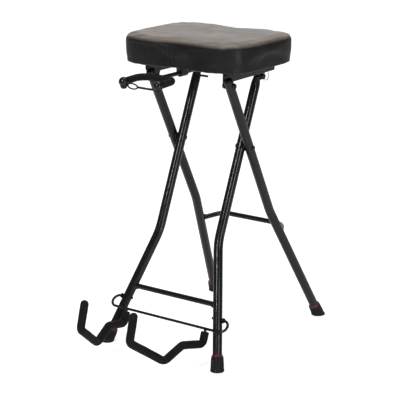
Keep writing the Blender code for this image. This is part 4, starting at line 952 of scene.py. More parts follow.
def inflate(item, pinned, most):
    """Cloth under pressure, frames 1 to 20; each point then moves by most tanh(distance / most)."""
    mesh = item.data
    group = item.vertex_groups.new(name="pinned")
    group.add(np.flatnonzero(pinned > 0.5).tolist(), 1.0, "REPLACE")
    before = read_points(mesh)
    cloth = item.modifiers.new("cloth", "CLOTH")
    settings = cloth.settings
    for key, value in (("quality", 5), ("mass", 0.25), ("tension_stiffness", 12),
                       ("compression_stiffness", 12), ("shear_stiffness", 6),
                       ("bending_stiffness", 0.6), ("vertex_group_mass", "pinned"),
                       ("use_pressure", True), ("uniform_pressure_force", 4)):
        setattr(settings, key, value)
    settings.effector_weights.gravity = 0
    cloth.point_cache.frame_start = 1
    cloth.point_cache.frame_end = LAST_FRAME
    scene = bpy.context.scene
    for frame_number in range(1, LAST_FRAME + 1):
        scene.frame_set(frame_number)
    graph = bpy.context.evaluated_depsgraph_get()
    result = bpy.data.meshes.new_from_object(item.evaluated_get(graph))
    moved = read_points(result) - before
    bpy.data.meshes.remove(result)
    item.modifiers.clear()
    item.vertex_groups.clear()
    scene.frame_set(1)
    far = np.linalg.norm(moved, axis=1, keepdims=True)
    moved = moved * np.where(far > 1e-9, most * np.tanh(far / most) / np.maximum(far, 1e-9), 0)
    write_points(mesh, before + moved)


def read_points(mesh, kind="co"):
    """Points or normals of a mesh as an array."""
    values = np.empty(len(mesh.vertices) * 3, np.float32)
    mesh.vertices.foreach_get(kind, values)
    return values.reshape(-1, 3).astype(float)


def write_points(mesh, points):
    """Set the points of a mesh."""
    mesh.vertices.foreach_set("co", points.astype(np.float32).ravel())
    mesh.update()


def finish_pad(item, sizes):
    """Subdivide, then move points along their normals: puckers |cos| at the seam, grooves at the joint."""
    change = item.modifiers.new("smooth", "SUBSURF")
    change.levels = change.render_levels = 1
    settle(item)
    mesh = item.data
    points, normal = read_points(mesh), read_points(mesh, "normal")
    x, y, z = points.T
    seam, ruffle = SEAT_SIDE - sizes.seam_drop, 0.0068
    walk = np.arctan2(y - SEAT_MIDDLE_Y, x) * 0.17
    band = smooth(SEAT_UNDER + 0.001, SEAT_UNDER + 0.006, z) * (np.abs(normal[:, 2]) < 0.8)
    near = bell(z - seam, 0.0042) * band
    pucker = 0.00028 * (np.abs(np.cos(walk / ruffle * math.pi + 2 * np.sin(walk * 31))) - 0.5)
    slow = 0.00045 * np.sin(walk * 71 + 1.7 * np.sin(walk * 13)) * bell(z - seam + 0.012, 0.018) * band
    front = (y < SEAT_MIDDLE_Y) * band * smooth(SEAT_UNDER + 0.003, SEAT_UNDER + 0.008, z)
    front = front * (z < seam + 0.0005)
    away = x - sizes.joint_x
    joint = bell(away, 0.0008) * -0.0009
    joint = joint + (bell(away - STITCH_AWAY, 0.0007) + bell(away + STITCH_AWAY, 0.0007)) * -0.0005
    lift = near * pucker + slow + joint * front
    write_points(mesh, points + normal * lift[:, None])
    mesh.shade_smooth()


def band_stitches(sizes, pad):
    """Short bowed rods in two columns beside the joint, each where a ray from the front meets the pad."""
    graph = bpy.context.evaluated_depsgraph_get()
    tree = BVHTree.FromObject(pad, graph)
    low, high = SEAT_UNDER + 0.006, SEAT_SIDE - sizes.seam_drop - 0.002
    bow = np.array([-0.0003, 0.0001, 0.00022, 0.0001, -0.0003])
    radii = np.array([0.00022, 0.00034, 0.00038, 0.00034, 0.00022])
    parts = []
    for x in (sizes.joint_x - STITCH_AWAY, sizes.joint_x + STITCH_AWAY):
        for z in np.arange(low, high - sizes.stitch, sizes.stitch * 1.25):
            ends = [surface_at(tree, x, z + k * sizes.stitch) for k in (0, 0.25, 0.5, 0.75, 1)]
            parts.append(swept(np.array(ends) - Y * bow[:, None], X, radii, radii, 2, 8))
    piece("band_stitching", parts, "thread", "seat")


def surface_at(tree, x, z):
    """Where a ray along +Y at a place and height meets the surface."""
    hit = tree.ray_cast(Vector((x, SEAT_LOW[1] - 0.05, z)), Vector((0, 1, 0)))[0]
    return np.array(hit)


def board(sizes):
    """Plywood board with the cushion's outline, its edges eased, and staples along the vinyl's margin."""
    def at(p, z):
        return np.column_stack([p, np.full(len(p), z)])

    board_inset, staple_inset = 0.0073, sizes.margin - 0.005
    plan = outline_point(sizes, boundary(even(48), even(48)), board_inset)
    slab = prism(plan, at, SEAT_UNDER, SEAT_UNDER + 0.010)
    item = piece("board_panel", [slab], "plywood", "seat", ["seat_board"])
    soften(item, 0.0006)
    spots = outline_point(sizes, boundary(even(12), even(12)), staple_inset)
    half, leg, thick, wide = 0.0044, 0.0006, 0.00028, 0.0005
    parts = []
    for spot, ahead in zip(spots, np.roll(spots, -1, 0) - spots):
        way = unit(np.array((ahead[0], ahead[1], 0)))
        here = np.array((spot[0], spot[1], SEAT_UNDER - 0.0004))
        if abs(here[0]) < 0.03 and here[1] < SEAT_MIDDLE_Y:
            continue
        crown = [here + way * half * k for k in (-1, 0, 1)]
        ends = [here + way * (half + 0.0004) * k + Z * leg for k in (-1, 1)]
        parts.append(swept(np.array([ends[0], *crown, ends[1]]), Z, thick, wide, 4, 8))
    piece("margin_staples", parts, "steel", "seat")


def bracket(side, sign):
    """Sheet channel: a U of two plates, two round corners and a roof carried to the rear, the plates' lower
    edges functions of the place, given a thickness and an eased edge."""
    low, high = (np.array(corner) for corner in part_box(f"bracket_{side}"))
    plate, radius = 0.0025, 0.0042
    y = np.linspace(low[1], high[1], 168)
    web, step = high[2] - 0.027, high[2] - 0.0315
    front_lug, rear_lug = REAR_TOP[2] - 0.008, FRONT_PIN[2] - 0.008
    edge_front, edge_rear = REAR_TOP[1] + 0.009, FRONT_PIN[1] - 0.009
    lug = 1 - smooth(edge_front - 0.004, edge_front + 0.006, y)
    tail = smooth(edge_rear - 0.006, edge_rear + 0.004, y)
    back = smooth(FRONT_PIN[1] + 0.005, FRONT_PIN[1] + 0.0115, y)
    turn_rear = corner_rise(high[1] - y, 0.003)
    inner = web + (front_lug - web) * lug + (rear_lug - web) * tail + (step - rear_lug) * back
    inner = inner + corner_rise(y - low[1], 0.0075) + turn_rear
    outer = web + 0.002 * (y - low[1]) / (high[1] - low[1])
    outer = outer + corner_rise(y - low[1], 0.0035) + turn_rear * 1.2
    x_in, x_out = (low[0], high[0])[::sign]
    x_in, x_out = x_in + sign * plate / 2, x_out - sign * plate / 2
    roof = high[2] - plate / 2
    drop = np.linspace(0, 1, 9)[:, None]
    turn = np.linspace(0, math.pi / 2, 6)
    corner_x = sign * (radius - radius * np.cos(turn))[:, None]
    corner_z = (roof - radius + radius * np.sin(turn))[:, None]
    span = np.linspace(x_in + sign * radius, x_out - sign * radius, 9)[1:-1, None]

    def rows(x, z):
        return np.stack(np.broadcast_arrays(x, y[None], z), -1)

    sheet = np.vstack([rows(x_in, inner[None] + (roof - radius - inner[None]) * drop),
                       rows(x_in + corner_x, corner_z)[1:], rows(span, roof),
                       rows(x_out - corner_x, corner_z)[::-1][:-1],
                       rows(x_out, outer[None] + (roof - radius - outer[None]) * drop)[::-1]])
    item = piece(f"seat_bracket_{side}", [surface(sheet, wrap=False)], "paint", "seat",
                 [f"bracket_{side}"])
    skin = item.modifiers.new("plate", "SOLIDIFY")
    skin.thickness = plate
    skin.offset = 0
    skin.use_even_offset = True
    settle(item)
    soften(item, 0.0005, 60)


def corner_rise(distance, radius):
    """Height of a quarter circle above its tangent, at a distance from its end."""
    t = np.clip(1 - distance / radius, 0, 1)
    return radius * (1 - np.sqrt(1 - t ** 2 * 0.999))


def seat_fasteners(sizes):
    """Pivot bolts, screws under the brackets, the fixed stud and the lock pin with its ring."""
    shank = 0.004
    for side, sign in SIDES:
        low, high = (np.array(corner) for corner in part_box(f"bracket_{side}"))
        out = X * sign
        head = REAR_TOP + X * (high[0] if sign < 0 else low[0])
        nut = REAR_TOP + out * (sizes.rear_half + sizes.tube_radius)
        outer = nut + out * CLEARANCE
        parts = [dome(head - out * CLEARANCE, -out, 0.0072, 0.0042),
                 rod(straight(head, nut, 0.01), shank, Z, 24),
                 hexed(outer, out, 0.0126, 0.0038, unit(Z + Y * 0.5)), thread_end(outer, out, shank, 0.005)]
        piece(f"seat_pivot_{side}", parts, "oxide", "seat", [f"seat_bolt_{side}"])
        under_roof = high[2] - 0.0025 - CLEARANCE
        for number, place in enumerate((0.3, 0.72), 1):
            seat = np.array((sign * sizes.rear_half, low[1] + (high[1] - low[1]) * place, under_roof))
            parts = [cross_head(seat, -Z, 0.0056, 0.0026),
                     rod(straight(seat, seat + Z * 0.0098, 0.004), 0.003, X, 20)]
            piece(f"bracket_screw_{side}_{number}", parts, "oxide", "seat",
                  [f"seat_screw_{side}_{number}"])
    face = sizes.rear_half - 0.0118
    stub = [(-0.0185, 0.003), (-0.0175, shank), (-0.0001, shank)]
    stud = eased([*stub, (0, 0.0062), (0.0008, 0.0065), (0.0024, 0.0065), (0.0037, 0.0052), (0.004, 0.003),
                  (0.004, 0.0001)], 0.0008)
    stud = turned(stud, FRONT_PIN - X * face, -X, 44)
    piece("fixed_stud", [stud], "oxide", "seat", ["seat_stud"])
    at = FRONT_PIN + X * face
    flange, waist = 0.0072, 0.0068
    knob = eased([*stub, (0, waist), (0.0007, flange), (0.0020, flange), (0.0025, waist), (0.0046, waist),
                  (0.0051, flange), (0.0061, 0.0071), (0.007, 0.0060), (0.007, 0.0001)], 0.0005)
    item = piece("lock_knob", [turned(knob, at, X, 56)], "oxide", "lock_pin", ["lock_pin"])
    hole = at + X * 0.0035 + Y * 0.0043
    carve(item, rod(straight(hole - Z * 0.0115, hole + Z * 0.0115, 0.004), 0.0024, X, 24, 0.0003))
    turn = turns(96)
    radial = np.cos(turn)[:, None] * Y + np.sin(turn)[:, None] * Z
    path = hole + Y * 0.0101 + radial * 0.011
    wire = ringed(path, radial, X, 0.0009, 0.0009, 2, 16)
    piece("pull_ring", [outward(surface(wire, loop=True))], "steel", "lock_ring", ["lock_ring"])


# Yoke

YOKE_LEVEL = float(middle("yoke_arm")[2])
YOKE_BACK = float(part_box("yoke_arm")[0][1]) - 0.0037
BALL_SUNK = 0.008


def yoke_path(sizes):
    """Centre line of the fork: two arms that slope forward and down from a rounded back."""
    back = np.array((0, YOKE_BACK, YOKE_LEVEL))
    ahead = np.array((0, -math.cos(sizes.slope), -math.sin(sizes.slope)))
    side, tip = X * sizes.half, ahead * sizes.reach
    corners = [back - side + tip, back - side, back + side, back + side + tip]
    return bent(corners, [sizes.corner] * 2, step=0.002, arc_step=0.0012), back, ahead


def yoke(sizes):
    """Arm, fork, foam sleeve, end balls and retaining strap."""
    path, back, ahead = yoke_path(sizes)
    arm_end = np.array(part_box("yoke_arm")[1])
    start = back + Y * 0.002
    arm = rod(straight(start, (0, arm_end[1], YOKE_LEVEL), 0.01), sizes.arm_radius, Z, 40, 0.0009)
    collar = eased([(0.0082, 0.0049), (0.0084, 0.0066), (0.0094, 0.0068), (0.0104, 0.0064), (0.0112, 0.0050)],
                   0.0007)
    piece("yoke_slide_bar", [arm, turned(collar, back, Y, 36)], "paint", "yoke", ["yoke_arm"])
    fork = rod(trimmed(path, 0.001, 0.001), sizes.rod_radius, Z, 24)
    piece("yoke_fork", [fork], "paint", "yoke", ["yoke_rod"])
    bare = 0.0083
    foam = foam_sleeve(trimmed(path, bare, bare), sizes.foam_radius, sizes.rod_radius + FOAM_GAP, Z,
                       rounded_tip=False, seed=0.4)
    item = piece("yoke_sleeve", [foam], "foam", "yoke", ["yoke_foam"], sharp=60)
    carve(item, rod(straight(start, back + Y * 0.014, 0.004), sizes.arm_radius + 0.0002, Z, 32, 0.0003))
    r, mouth = sizes.ball_radius, 0.42
    t = np.linspace(mouth, math.pi - 0.02, 44)
    rib = 0.00018 * bell(t - 1.72, 0.035) - 0.0003 * bell(t - 0.62, 0.05)
    shape = np.stack([-r * np.cos(t), (r - 0.0001 + rib) * np.sin(t)], 1)
    rim = -r * math.cos(mouth)
    profile = np.vstack([[(rim + 0.003, sizes.rod_radius + 0.0004), (rim + 0.0004, 0.0039)], shape])
    for side, sign in SIDES:
        centre = back + X * sign * sizes.half + ahead * sizes.reach + ahead * (r - BALL_SUNK)
        piece(f"yoke_end_{side}", [turned(profile, centre, ahead, 64)], "gloss", "yoke",
              [f"yoke_ball_{side}"])
    strap(sizes, back, ahead)


def strap(sizes, back, ahead):
    """Slack strap: two strands, side by side as one band, that part round an oval eye; they hang below the
    balls by the two drops and sag with the cosine between, and a boss hangs under each ball."""
    y, level = (back + ahead * (sizes.reach + sizes.ball_radius - BALL_SUNK))[1:]
    x0, x1 = -sizes.half, sizes.half
    eye_place, a, b, sag, deep = 0.262, 0.0140, 0.0060, 0.0012, 0.0016
    eye = x0 + (x1 - x0) * eye_place
    left, right = eye - a, eye + a
    x = np.concatenate([np.linspace(x0, left - 0.002, 6)[:-1], np.linspace(left - 0.002, left, 5)[:-1],
                        eye - a * np.cos(np.linspace(0, math.pi, 33)),
                        np.linspace(right, right + 0.003, 5)[1:], np.linspace(right + 0.003, x1, 12)[1:]])
    drop = np.interp(x, (x0, x1), (sizes.strap_left, sizes.strap_right))
    drop = drop + sag * np.cos(math.pi * x / (x1 - x0))
    lift = b * np.sqrt(1 - np.clip((x - eye) / a, -1, 1) ** 2)
    apart = (sizes.strap_high - sizes.strap_thick) / 2
    offset = np.maximum(lift, apart * smooth(a * 0.93, a * 1.1, np.abs(x - eye)))
    parts = []
    for way in (1, -1):
        path = np.stack([x, np.full(len(x), y), level - drop + way * offset], 1)
        parts.append(swept(path, Y, sizes.strap_thick / 2, deep, 3.2, 20))
    boss = eased([(0.004, 0.0088), (0.0100, 0.0086), (0.0160, 0.0058), (0.0165, 0.0001)], 0.004)
    parts += [turned(boss, (side, y, level), -Z, 32) for side in (x0, x1)]
    piece("yoke_retainer", parts, "rubber", "yoke", ["yoke_strap"])


def guides(sizes):
    """Moulded clamps: a saddle section carried along the arm, its edges rounded, screws in its flanges."""
    def at(p, y):
        return np.column_stack([p[:, 0], np.full(len(p), y), p[:, 1]])

    body, flange, fillet, edge = 0.009, 0.003, 0.0025, 0.0008
    for name in ("front", "rear"):
        low, high = (np.array(corner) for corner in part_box(f"yoke_guide_{name}"))
        wide, top = high[0], high[2]
        shelf = top - flange
        turn = np.linspace(math.pi, TURN, 19)
        bowl = np.stack([body * np.cos(turn), low[2] + body + body * np.sin(turn)], 1)
        turn = np.linspace(0, math.pi / 2, 6)
        left = np.stack([-body - fillet + fillet * np.sin(turn), shelf - fillet + fillet * np.cos(turn)], 1)
        outline = np.vstack([[(-wide, top), (-wide, shelf + edge), (-wide + edge, shelf)], left, bowl,
                             left[::-1] * (-1, 1), [(wide - edge, shelf), (wide, shelf + edge), (wide, top)]])
        item = piece(f"arm_guide_{name}", [prism(outline, at, low[1], high[1])], "plastic", "seat",
                     [f"yoke_guide_{name}"])
        start = np.array((0, low[1] - 0.01, YOKE_LEVEL))
        bore = straight(start, start + Y * (high[1] + 0.01 - start[1]), 0.02)
        carve(item, rod(bore, sizes.arm_radius + 0.0004, Z))
        soften(item, 0.0006, 60)
        for side, sign in SIDES:
            x = sign * (body + (wide - body) * 0.72)
            seat = np.array((x, (low[1] + high[1]) / 2, shelf - CLEARANCE))
            parts = [cross_head(seat, -Z, 0.004, 0.002),
                     rod(straight(seat, seat + Z * 0.01, 0.004), 0.002, X, 20)]
            piece(f"guide_fastener_{name}_{side}", parts, "oxide", "seat",
                  [f"guide_screw_{name}_{side}"])


# Materials

class Nodes:
    """Small builder of the nodes of a material or a world."""

    def __init__(self, owner, coords="Object"):
        owner.use_nodes = True
        self.tree = owner.node_tree
        self.shader = self.tree.nodes.get("Principled BSDF")
        self.coords = self.add("TexCoord").outputs[coords]

    def add(self, kind, settings=None, **values):
        """A node with its settings, its values and its links."""
        node = self.tree.nodes.new("ShaderNode" + kind)
        for key, value in (settings or {}).items():
            setattr(node, key, value)
        for key, value in values.items():
            self.put(node.inputs[key.replace("_", " ")], value)
        return node

    def put(self, socket, value):
        """Link a socket or set its value."""
        if isinstance(value, bpy.types.NodeSocket):
            self.tree.links.new(value, socket)
        else:
            socket.default_value = value

    def join(self, kind, settings, *values):
        """Outputs of a node whose inputs take the values in turn."""
        node = self.add(kind, settings)
        for socket, value in zip(node.inputs, values):
            self.put(socket, value)
        return node.outputs

    def shade(self, colour, roughness, **values):
        """Set the shader's inputs."""
        for key, value in {"Base Color": colour, "Roughness": roughness, **values}.items():
            self.put(self.shader.inputs[key.replace("_", " ")], value)

    def stretched(self, scale):
        """Object coordinates, scaled along each axis."""
        return self.add("Mapping", Vector=self.coords, Scale=scale).outputs[0]

    def noise(self, scale, detail=3.0, roughness=0.5, vector=None):
        """Noise, in features per metre."""
        node = self.add("TexNoise", Vector=vector or self.coords, Scale=scale, Detail=detail,
                        Roughness=roughness)
        return node.outputs["Fac"]

    def cells(self, scale, kind="F1", vector=None):
        """Distance to the cell points."""
        node = self.add("TexVoronoi", {"feature": kind}, Vector=vector or self.coords, Scale=scale)
        return node.outputs["Distance"]

    def span(self, value, low, high, start=0.0, end=1.0):
        """A value carried from one range to another."""
        node = self.add("MapRange", Value=value, From_Min=low, From_Max=high, To_Min=start, To_Max=end)
        return node.outputs[0]

    def patches(self, scale, detail, least, most):
        """Patches of noise between two values."""
        return self.span(self.noise(scale, detail), 0.3, 0.7, least, most)

    def math(self, operation, first, second=0.0):
        """Arithmetic on two values."""
        return self.join("Math", {"operation": operation}, first, second)[0]

    def mix(self, factor, first, second):
        """Mix of two colours."""
        node = self.add("Mix", {"data_type": "RGBA"}, Factor=factor)
        self.put(node.inputs[6], (*first, 1) if isinstance(first, tuple) else first)
        self.put(node.inputs[7], (*second, 1) if isinstance(second, tuple) else second)
        return node.outputs[2]

    def toned(self, factor, name, first, second):
        """A finish's colour times the first number where a value is 0 and times the second where it is 1."""
        return self.mix(factor, tone(name, first), tone(name, second))

    def bump(self, height, distance, strength=1.0, normal=None):
        """Bump of a height, on top of another normal."""
        node = self.add("Bump", Height=height, Distance=distance, Strength=strength)
        if normal is not None:
            self.put(node.inputs["Normal"], normal)
        return node.outputs[0]

    def level(self):
        """Height of a point above the floor, in the object's own coordinates."""
        return self.add("SeparateXYZ", Vector=self.coords).outputs[2]


def tone(name, factor=1.0):
    """A colour of the finishes as a tuple, made lighter or darker."""
    return tuple(min(1.0, part * factor) for part in getattr(bpy.context.scene.stool_finishes, name))


def paint_look(n):
    """Satin powder coat: orange peel of two scales, roughness in patches, faint dust and rubbed edges."""
    dust = n.span(n.noise(9, 3), 0.45, 0.75)
    worn = n.span(n.add("NewGeometry").outputs["Pointiness"], 0.53, 0.6)
    worn = n.math("MULTIPLY", worn, n.span(n.noise(160, 2), 0.45, 0.62))
    shade = n.toned(n.math("MULTIPLY", dust, 0.5), "paint", 1, 1.9)
    shade = n.mix(n.math("MULTIPLY", worn, 0.5), shade, (0.05, 0.05, 0.052))
    peel = n.bump(n.noise(620, 2), 0.00012, 0.1)
    grain = n.bump(n.noise(2600, 1), 0.00003, 0.4, peel)
    n.shade(shade, n.patches(38, 4, 0.24, 0.32), Normal=grain, Specular_IOR_Level=0.24, Coat_Weight=0.5,
            Coat_Roughness=0.08)


def vinyl_look(n):
    """Soft vinyl: leather cells under finer pores, slow creases, and a lighter upper face of dust and painted
    reflection, glossier.
    """
    wobble = n.add("TexNoise", Vector=n.coords, Scale=300, Detail=2).outputs["Color"]
    small = n.add("VectorMath", {"operation": "SCALE"}, Vector=wobble, Scale=0.0006).outputs[0]
    warped = n.join("VectorMath", {"operation": "ADD"}, n.coords, small)[0]
    crease = n.noise(55, 5, 0.6)
    top = n.span(n.level(), 0.7572, 0.7635)
    # Painted reflection: the upper face is mixed to a lighter taupe, partly dust and partly a painted
    # reflection of the bright backdrop at grazing angles.
    dust_and_sheen = n.math("MULTIPLY", top, n.span(n.noise(14, 4, 0.6), 0.3, 0.7, 0.5, 1.0))
    shade = n.toned(n.span(crease, 0.35, 0.65), "vinyl", 0.85, 1.2)
    shade = n.mix(dust_and_sheen, shade, (0.190, 0.150, 0.120))
    bump = n.bump(n.cells(820, "SMOOTH_F1", warped), 0.00022, 0.5)
    bump = n.bump(n.noise(2100, 2), 0.00005, 0.4, bump)
    bump = n.bump(crease, 0.0006, 0.25, bump)
    n.shade(shade, n.patches(24, 3, 0.36, 0.46), Normal=bump, Sheen_Weight=0.02, Sheen_Roughness=0.5,
            Specular_IOR_Level=n.span(top, 0.0, 1.0, 0.26, 0.75))


def foam_look(n):
    """Closed-cell foam: pits of a fine cell pattern, matte, greyer where it is rubbed."""
    blot = n.noise(60, 4)
    bump = n.bump(n.cells(1500), 0.00028, 0.65)
    bump = n.bump(n.noise(180, 3), 0.0003, 0.3, bump)
    n.shade(n.toned(n.span(blot, 0.4, 0.68), "foam", 1, 2.1), n.span(blot, 0.3, 0.7, 0.66, 0.78), Normal=bump,
            Specular_IOR_Level=0.22, Sheen_Weight=0.03, Sheen_Roughness=0.4)


def rubber_look(n):
    """Moulded rubber: slight bloom in patches, scuffs towards the floor."""
    low = n.span(n.level(), 0.012, 0.0, 0.0, 1.0)
    scuff = n.math("MULTIPLY", low, n.span(n.noise(420, 4, 0.7), 0.45, 0.65))
    shade = n.toned(n.span(n.noise(90, 3), 0.4, 0.7), "rubber", 1, 1.8)
    shade = n.mix(n.math("MULTIPLY", scuff, 0.4), shade, (0.07, 0.066, 0.062))
    bump = n.bump(n.noise(1400, 3), 0.00006, 0.5)
    n.shade(shade, n.patches(50, 3, 0.36, 0.48), Normal=bump, Specular_IOR_Level=0.3)


def gloss_look(n):
    """Polished rubber of the yoke's end balls: fine flow lines and a clear gloss."""
    bump = n.bump(n.noise(700, 2), 0.00003, 0.4)
    n.shade(n.toned(n.noise(120, 3), "rubber", 1, 1.6), n.patches(70, 2, 0.17, 0.25), Normal=bump)


def red_look(n):
    """Dark red rubber."""
    shade = n.toned(n.span(n.noise(210, 4), 0.35, 0.7), "red", 1, 0.6)
    n.shade(shade, n.patches(80, 3, 0.4, 0.52), Normal=n.bump(n.noise(1500, 3), 0.00006, 0.5))


def oxide_look(n):
    """Black oxide on steel: fine turning marks and a brownish cast in spots."""
    spots = n.span(n.noise(500, 4, 0.65), 0.5, 0.72)
    shade = n.mix(n.math("MULTIPLY", spots, 0.5), tone("oxide"), (0.07, 0.058, 0.05))
    n.shade(shade, n.patches(240, 3, 0.26, 0.4), Normal=n.bump(n.noise(3000, 2), 0.00002, 0.5), Metallic=0.75)


def plastic_look(n):
    """Moulded plastic: spark-eroded texture and slight sink marks."""
    bump = n.bump(n.noise(1900, 3, 0.6), 0.00005, 0.6)
    bump = n.bump(n.noise(60, 2), 0.0004, 0.15, bump)
    n.shade(n.toned(n.noise(70, 3), "plastic", 1, 1.5), n.patches(110, 2, 0.36, 0.46), Normal=bump)


def steel_look(n):
    """Bright drawn wire: fine scratches along it and dull spots."""
    dull = n.span(n.noise(380, 4, 0.6), 0.5, 0.75)
    bump = n.bump(n.noise(2500, 2, vector=n.stretched((1, 0.25, 0.25))), 0.00003, 0.5)
    n.shade(n.toned(dull, "steel", 1, 0.7), n.span(dull, 0, 1, 0.2, 0.38), Normal=bump, Metallic=1.0)


def plywood_look(n):
    """Birch ply: long fibres on the faces and stacked layers on the edges."""
    fibres = n.noise(240, 6, 0.65, n.stretched((0.06, 1, 1)))
    broad = n.noise(26, 4, 0.6, n.stretched((0.12, 1, 1)))
    shade = n.toned(n.span(fibres, 0.3, 0.7), "board", 0.72, 1.15)
    shade = n.mix(n.span(broad, 0.4, 0.7, 0, 0.4), shade, tone("board", 0.6))
    layer = n.math("SINE", n.math("MULTIPLY", n.level(), TURN / 0.0028))
    facing = n.add("NewGeometry").outputs["True Normal"]
    side = n.math("ABSOLUTE", n.add("SeparateXYZ", Vector=facing).outputs[2])
    on_edge = n.math("MULTIPLY", n.span(side, 0.7, 0.3), n.span(layer, -0.2, 0.4))
    shade = n.mix(n.math("MULTIPLY", on_edge, 0.7), shade, tone("board", 0.42))
    n.shade(shade, n.span(fibres, 0.3, 0.7, 0.5, 0.65), Normal=n.bump(fibres, 0.00018, 0.5))


def thread_look(n):
    """Twisted thread: diagonal strands."""
    wave = n.add("TexWave", {"bands_direction": "DIAGONAL"}, Vector=n.coords, Scale=900, Distortion=0.6)
    wave = wave.outputs["Fac"]
    n.shade(n.toned(wave, "thread", 0.6, 1.5), 0.6, Normal=n.bump(wave, 0.00015, 0.8), Sheen_Weight=0.2)


LOOKS = {"paint": paint_look, "vinyl": vinyl_look, "foam": foam_look, "rubber": rubber_look,
         "gloss": gloss_look, "red": red_look, "oxide": oxide_look, "plastic": plastic_look,
         "steel": steel_look, "plywood": plywood_look, "thread": thread_look}
MADE = {}


def material(name):
    """The material of a look, made at its first use."""
    if name not in MADE:
        MADE[name] = bpy.data.materials.new(name)
        LOOKS[name](Nodes(MADE[name]))
    return MADE[name]


# Stage

def camera(sizes):
    """Camera at the fitted distance, looking at its target."""
    data = bpy.data.cameras.new("camera")
    data.lens = sizes.lens
    data.sensor_width = 36
    item = linked("camera", data)
    az, el = sizes.azimuth, sizes.elevation
    way = Vector((-math.sin(az) * math.cos(el), math.cos(az) * math.cos(el), -math.sin(el)))
    item.location = Vector(sizes.target) - way * sizes.distance
    item.rotation_euler = way.to_track_quat("-Z", "Y").to_euler()
    bpy.context.scene.camera = item


def softbox(name, place, target, size, watts):
    """A rectangular lamp that faces a point."""
    data = bpy.data.lights.new(name, "AREA")
    data.shape = "RECTANGLE"
    data.size, data.size_y = size
    data.energy = watts
    item = linked(name, data)
    item.location = place
    item.rotation_euler = (Vector(target) - Vector(place)).to_track_quat("-Z", "Y").to_euler()


def world():
    """White to the camera and soft to the stool's surfaces; to mirrored rays white round one direction,
    behind the stool as the camera sees it, and dim elsewhere."""
    studio = bpy.data.worlds.new("studio")
    bpy.context.scene.world = studio
    n = Nodes(studio, "Generated")
    behind, white = (-0.5586, 0.7843, 0.2696), (1, 1, 1, 1)
    towards = n.join("VectorMath", {"operation": "DOT_PRODUCT"}, n.coords, behind)["Value"]
    sweep = n.add("MapRange", {"interpolation_type": "SMOOTHSTEP"}, Value=towards, From_Min=0.8,
                  From_Max=0.93, To_Min=0.1, To_Max=1.0)
    shine, soft, seen = (n.add("Background", Color=white, Strength=strength).outputs[0]
                         for strength in (sweep.outputs[0], 0.5, 1.0))
    path = n.add("LightPath").outputs
    mirrored = n.math("MAXIMUM", path["Is Glossy Ray"], path["Is Transmission Ray"])
    lit = n.join("MixShader", None, mirrored, soft, shine)[0]
    both = n.join("MixShader", None, path["Is Camera Ray"], lit, seen)[0]
    n.put(n.tree.nodes["World Output"].inputs[0], both)


def floor():
    """A wide pale floor: white to the camera but for the object's shadow."""
    size = 14.0
    corner = np.array([(-size, -size, 0), (size, -size, 0), (size, size, 0), (-size, size, 0)], float)
    item = loose("floor", [(corner, [np.array([[0, 1, 2, 3]])])])
    pale = bpy.data.materials.new("floor")
    n = Nodes(pale)
    n.shade((0.8, 0.8, 0.8, 1), 0.6)
    plain = n.shader.outputs[0]
    glow = n.add("Emission", Strength=0.62, Color=(1, 1, 1, 1)).outputs[0]
    both = n.join("AddShader", None, plain, glow)[0]
    seen = n.join("MixShader", None, n.add("LightPath").outputs["Is Camera Ray"], plain, both)[0]
    n.put(n.tree.nodes["Material Output"].inputs["Surface"], seen)
    item.data.materials.append(pale)


# Operators

class Builder:
    """Shared part of the operators."""

    bl_options = {"REGISTER"}

    def execute(self, context):
        """Build the pieces."""
        self.build(context.scene)
        return {"FINISHED"}


class StoolLegs(Builder, bpy.types.Operator):
    """Front and rear tubes with their crossbars"""

    bl_idname = "stool.legs"
    bl_label = "Legs and crossbars"

    def build(self, scene):
        for side, sign in SIDES:
            rear_leg(scene.stool_frame, side, sign)
            front_leg(scene.stool_frame, side, sign)
        crossbars(scene.stool_frame)


class StoolBoots(Builder, bpy.types.Operator):
    """Ribbed rubber feet and their red rings"""

    bl_idname = "stool.feet"
    bl_label = "Feet"

    def build(self, scene):
        for side, sign in SIDES:
            boot(scene.stool_feet, "front", side, "front_frame", front_course(scene.stool_frame, sign))
            boot(scene.stool_feet, "rear", side, "rear_frame", rear_course(scene.stool_frame, sign))


class StoolFasteners(Builder, bpy.types.Operator):
    """Bolts, nuts and washers of the frame"""

    bl_idname = "stool.fasteners"
    bl_label = "Frame fasteners"

    def build(self, scene):
        frame_bolts(scene.stool_frame)


class StoolCradleParts(Builder, bpy.types.Operator):
    """Wire cradle with its padded hooks"""

    bl_idname = "stool.cradle"
    bl_label = "Cradle and hooks"

    def build(self, scene):
        cradle_wire(scene.stool_frame, scene.stool_cradle)
        for side, sign in SIDES:
            hook(scene.stool_frame, scene.stool_cradle, side, sign)


class StoolSeatPad(Builder, bpy.types.Operator):
    """Padded seat with its stitching, board and staples"""

    bl_idname = "stool.seat"
    bl_label = "Seat"

    def build(self, scene):
        pad = cushion(scene.stool_seat)
        band_stitches(scene.stool_seat, pad)
        board(scene.stool_seat)


class StoolBrackets(Builder, bpy.types.Operator):
    """Seat brackets with their fasteners, stud and lock pin"""

    bl_idname = "stool.brackets"
    bl_label = "Brackets and lock"

    def build(self, scene):
        for side, sign in SIDES:
            bracket(side, sign)
        seat_fasteners(scene.stool_frame)


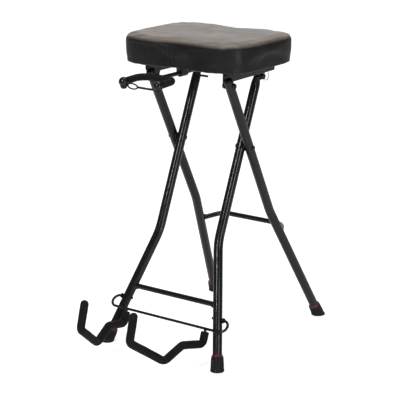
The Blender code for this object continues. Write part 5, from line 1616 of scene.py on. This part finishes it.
class StoolYokeParts(Builder, bpy.types.Operator):
    """Sliding neck yoke and its guides"""

    bl_idname = "stool.yoke"
    bl_label = "Neck yoke"

    def build(self, scene):
        yoke(scene.stool_yoke)
        guides(scene.stool_yoke)


class StoolStudio(Builder, bpy.types.Operator):
    """Floor, light and camera"""

    bl_idname = "stool.studio"
    bl_label = "Stage"

    def build(self, scene):
        scene.view_settings.view_transform = "Standard"
        world()
        floor()
        camera(scene.stool_stage)
        softbox("front strip", (-0.05, -3.0, 2.75), (0, 0, 0.45), (0.2, 1.6), 46)
        softbox("side strip", (2.9, -1.0, 1.0), (0, 0, 0.45), (0.3, 1.8), 22)
        softbox("overhead", (0.1, 0.3, 3.1), (0, 0, 0.5), (1.6, 1.6), 20)


OPERATORS = (StoolStudio, StoolLegs, StoolBoots, StoolFasteners, StoolCradleParts, StoolBrackets,
             StoolSeatPad, StoolYokeParts)


class StoolPanel(bpy.types.Panel):
    """Lists the stool's operators and sizes"""

    bl_idname = "VIEW3D_PT_guitar_stool"
    bl_label = "Guitar Stool"
    bl_space_type = "VIEW_3D"
    bl_region_type = "UI"
    bl_category = "Guitar Stool"

    def draw(self, context):
        for operator in OPERATORS:
            self.layout.operator(operator.bl_idname)
        for name, group in GROUPS:
            box = self.layout.box()
            box.label(text=group.__doc__.rstrip("."))
            for key in group.__annotations__:
                box.prop(getattr(context.scene, name), key)


def register():
    """Register the classes and hang the properties on the scene."""
    for name, group in GROUPS:
        bpy.utils.register_class(group)
        setattr(bpy.types.Scene, name, PointerProperty(type=group))
    for item in (*OPERATORS, StoolPanel):
        bpy.utils.register_class(item)


def unregister():
    """Take the classes and properties off again."""
    for item in (StoolPanel, *reversed(OPERATORS)):
        bpy.utils.unregister_class(item)
    for name, group in reversed(GROUPS):
        delattr(bpy.types.Scene, name)
        bpy.utils.unregister_class(group)


def main():
    """Register the add-on and build the whole stool."""
    register()
    for operator in OPERATORS:
        area, name = operator.bl_idname.split(".")
        getattr(getattr(bpy.ops, area), name)()


if __name__ == "__main__":
    main()
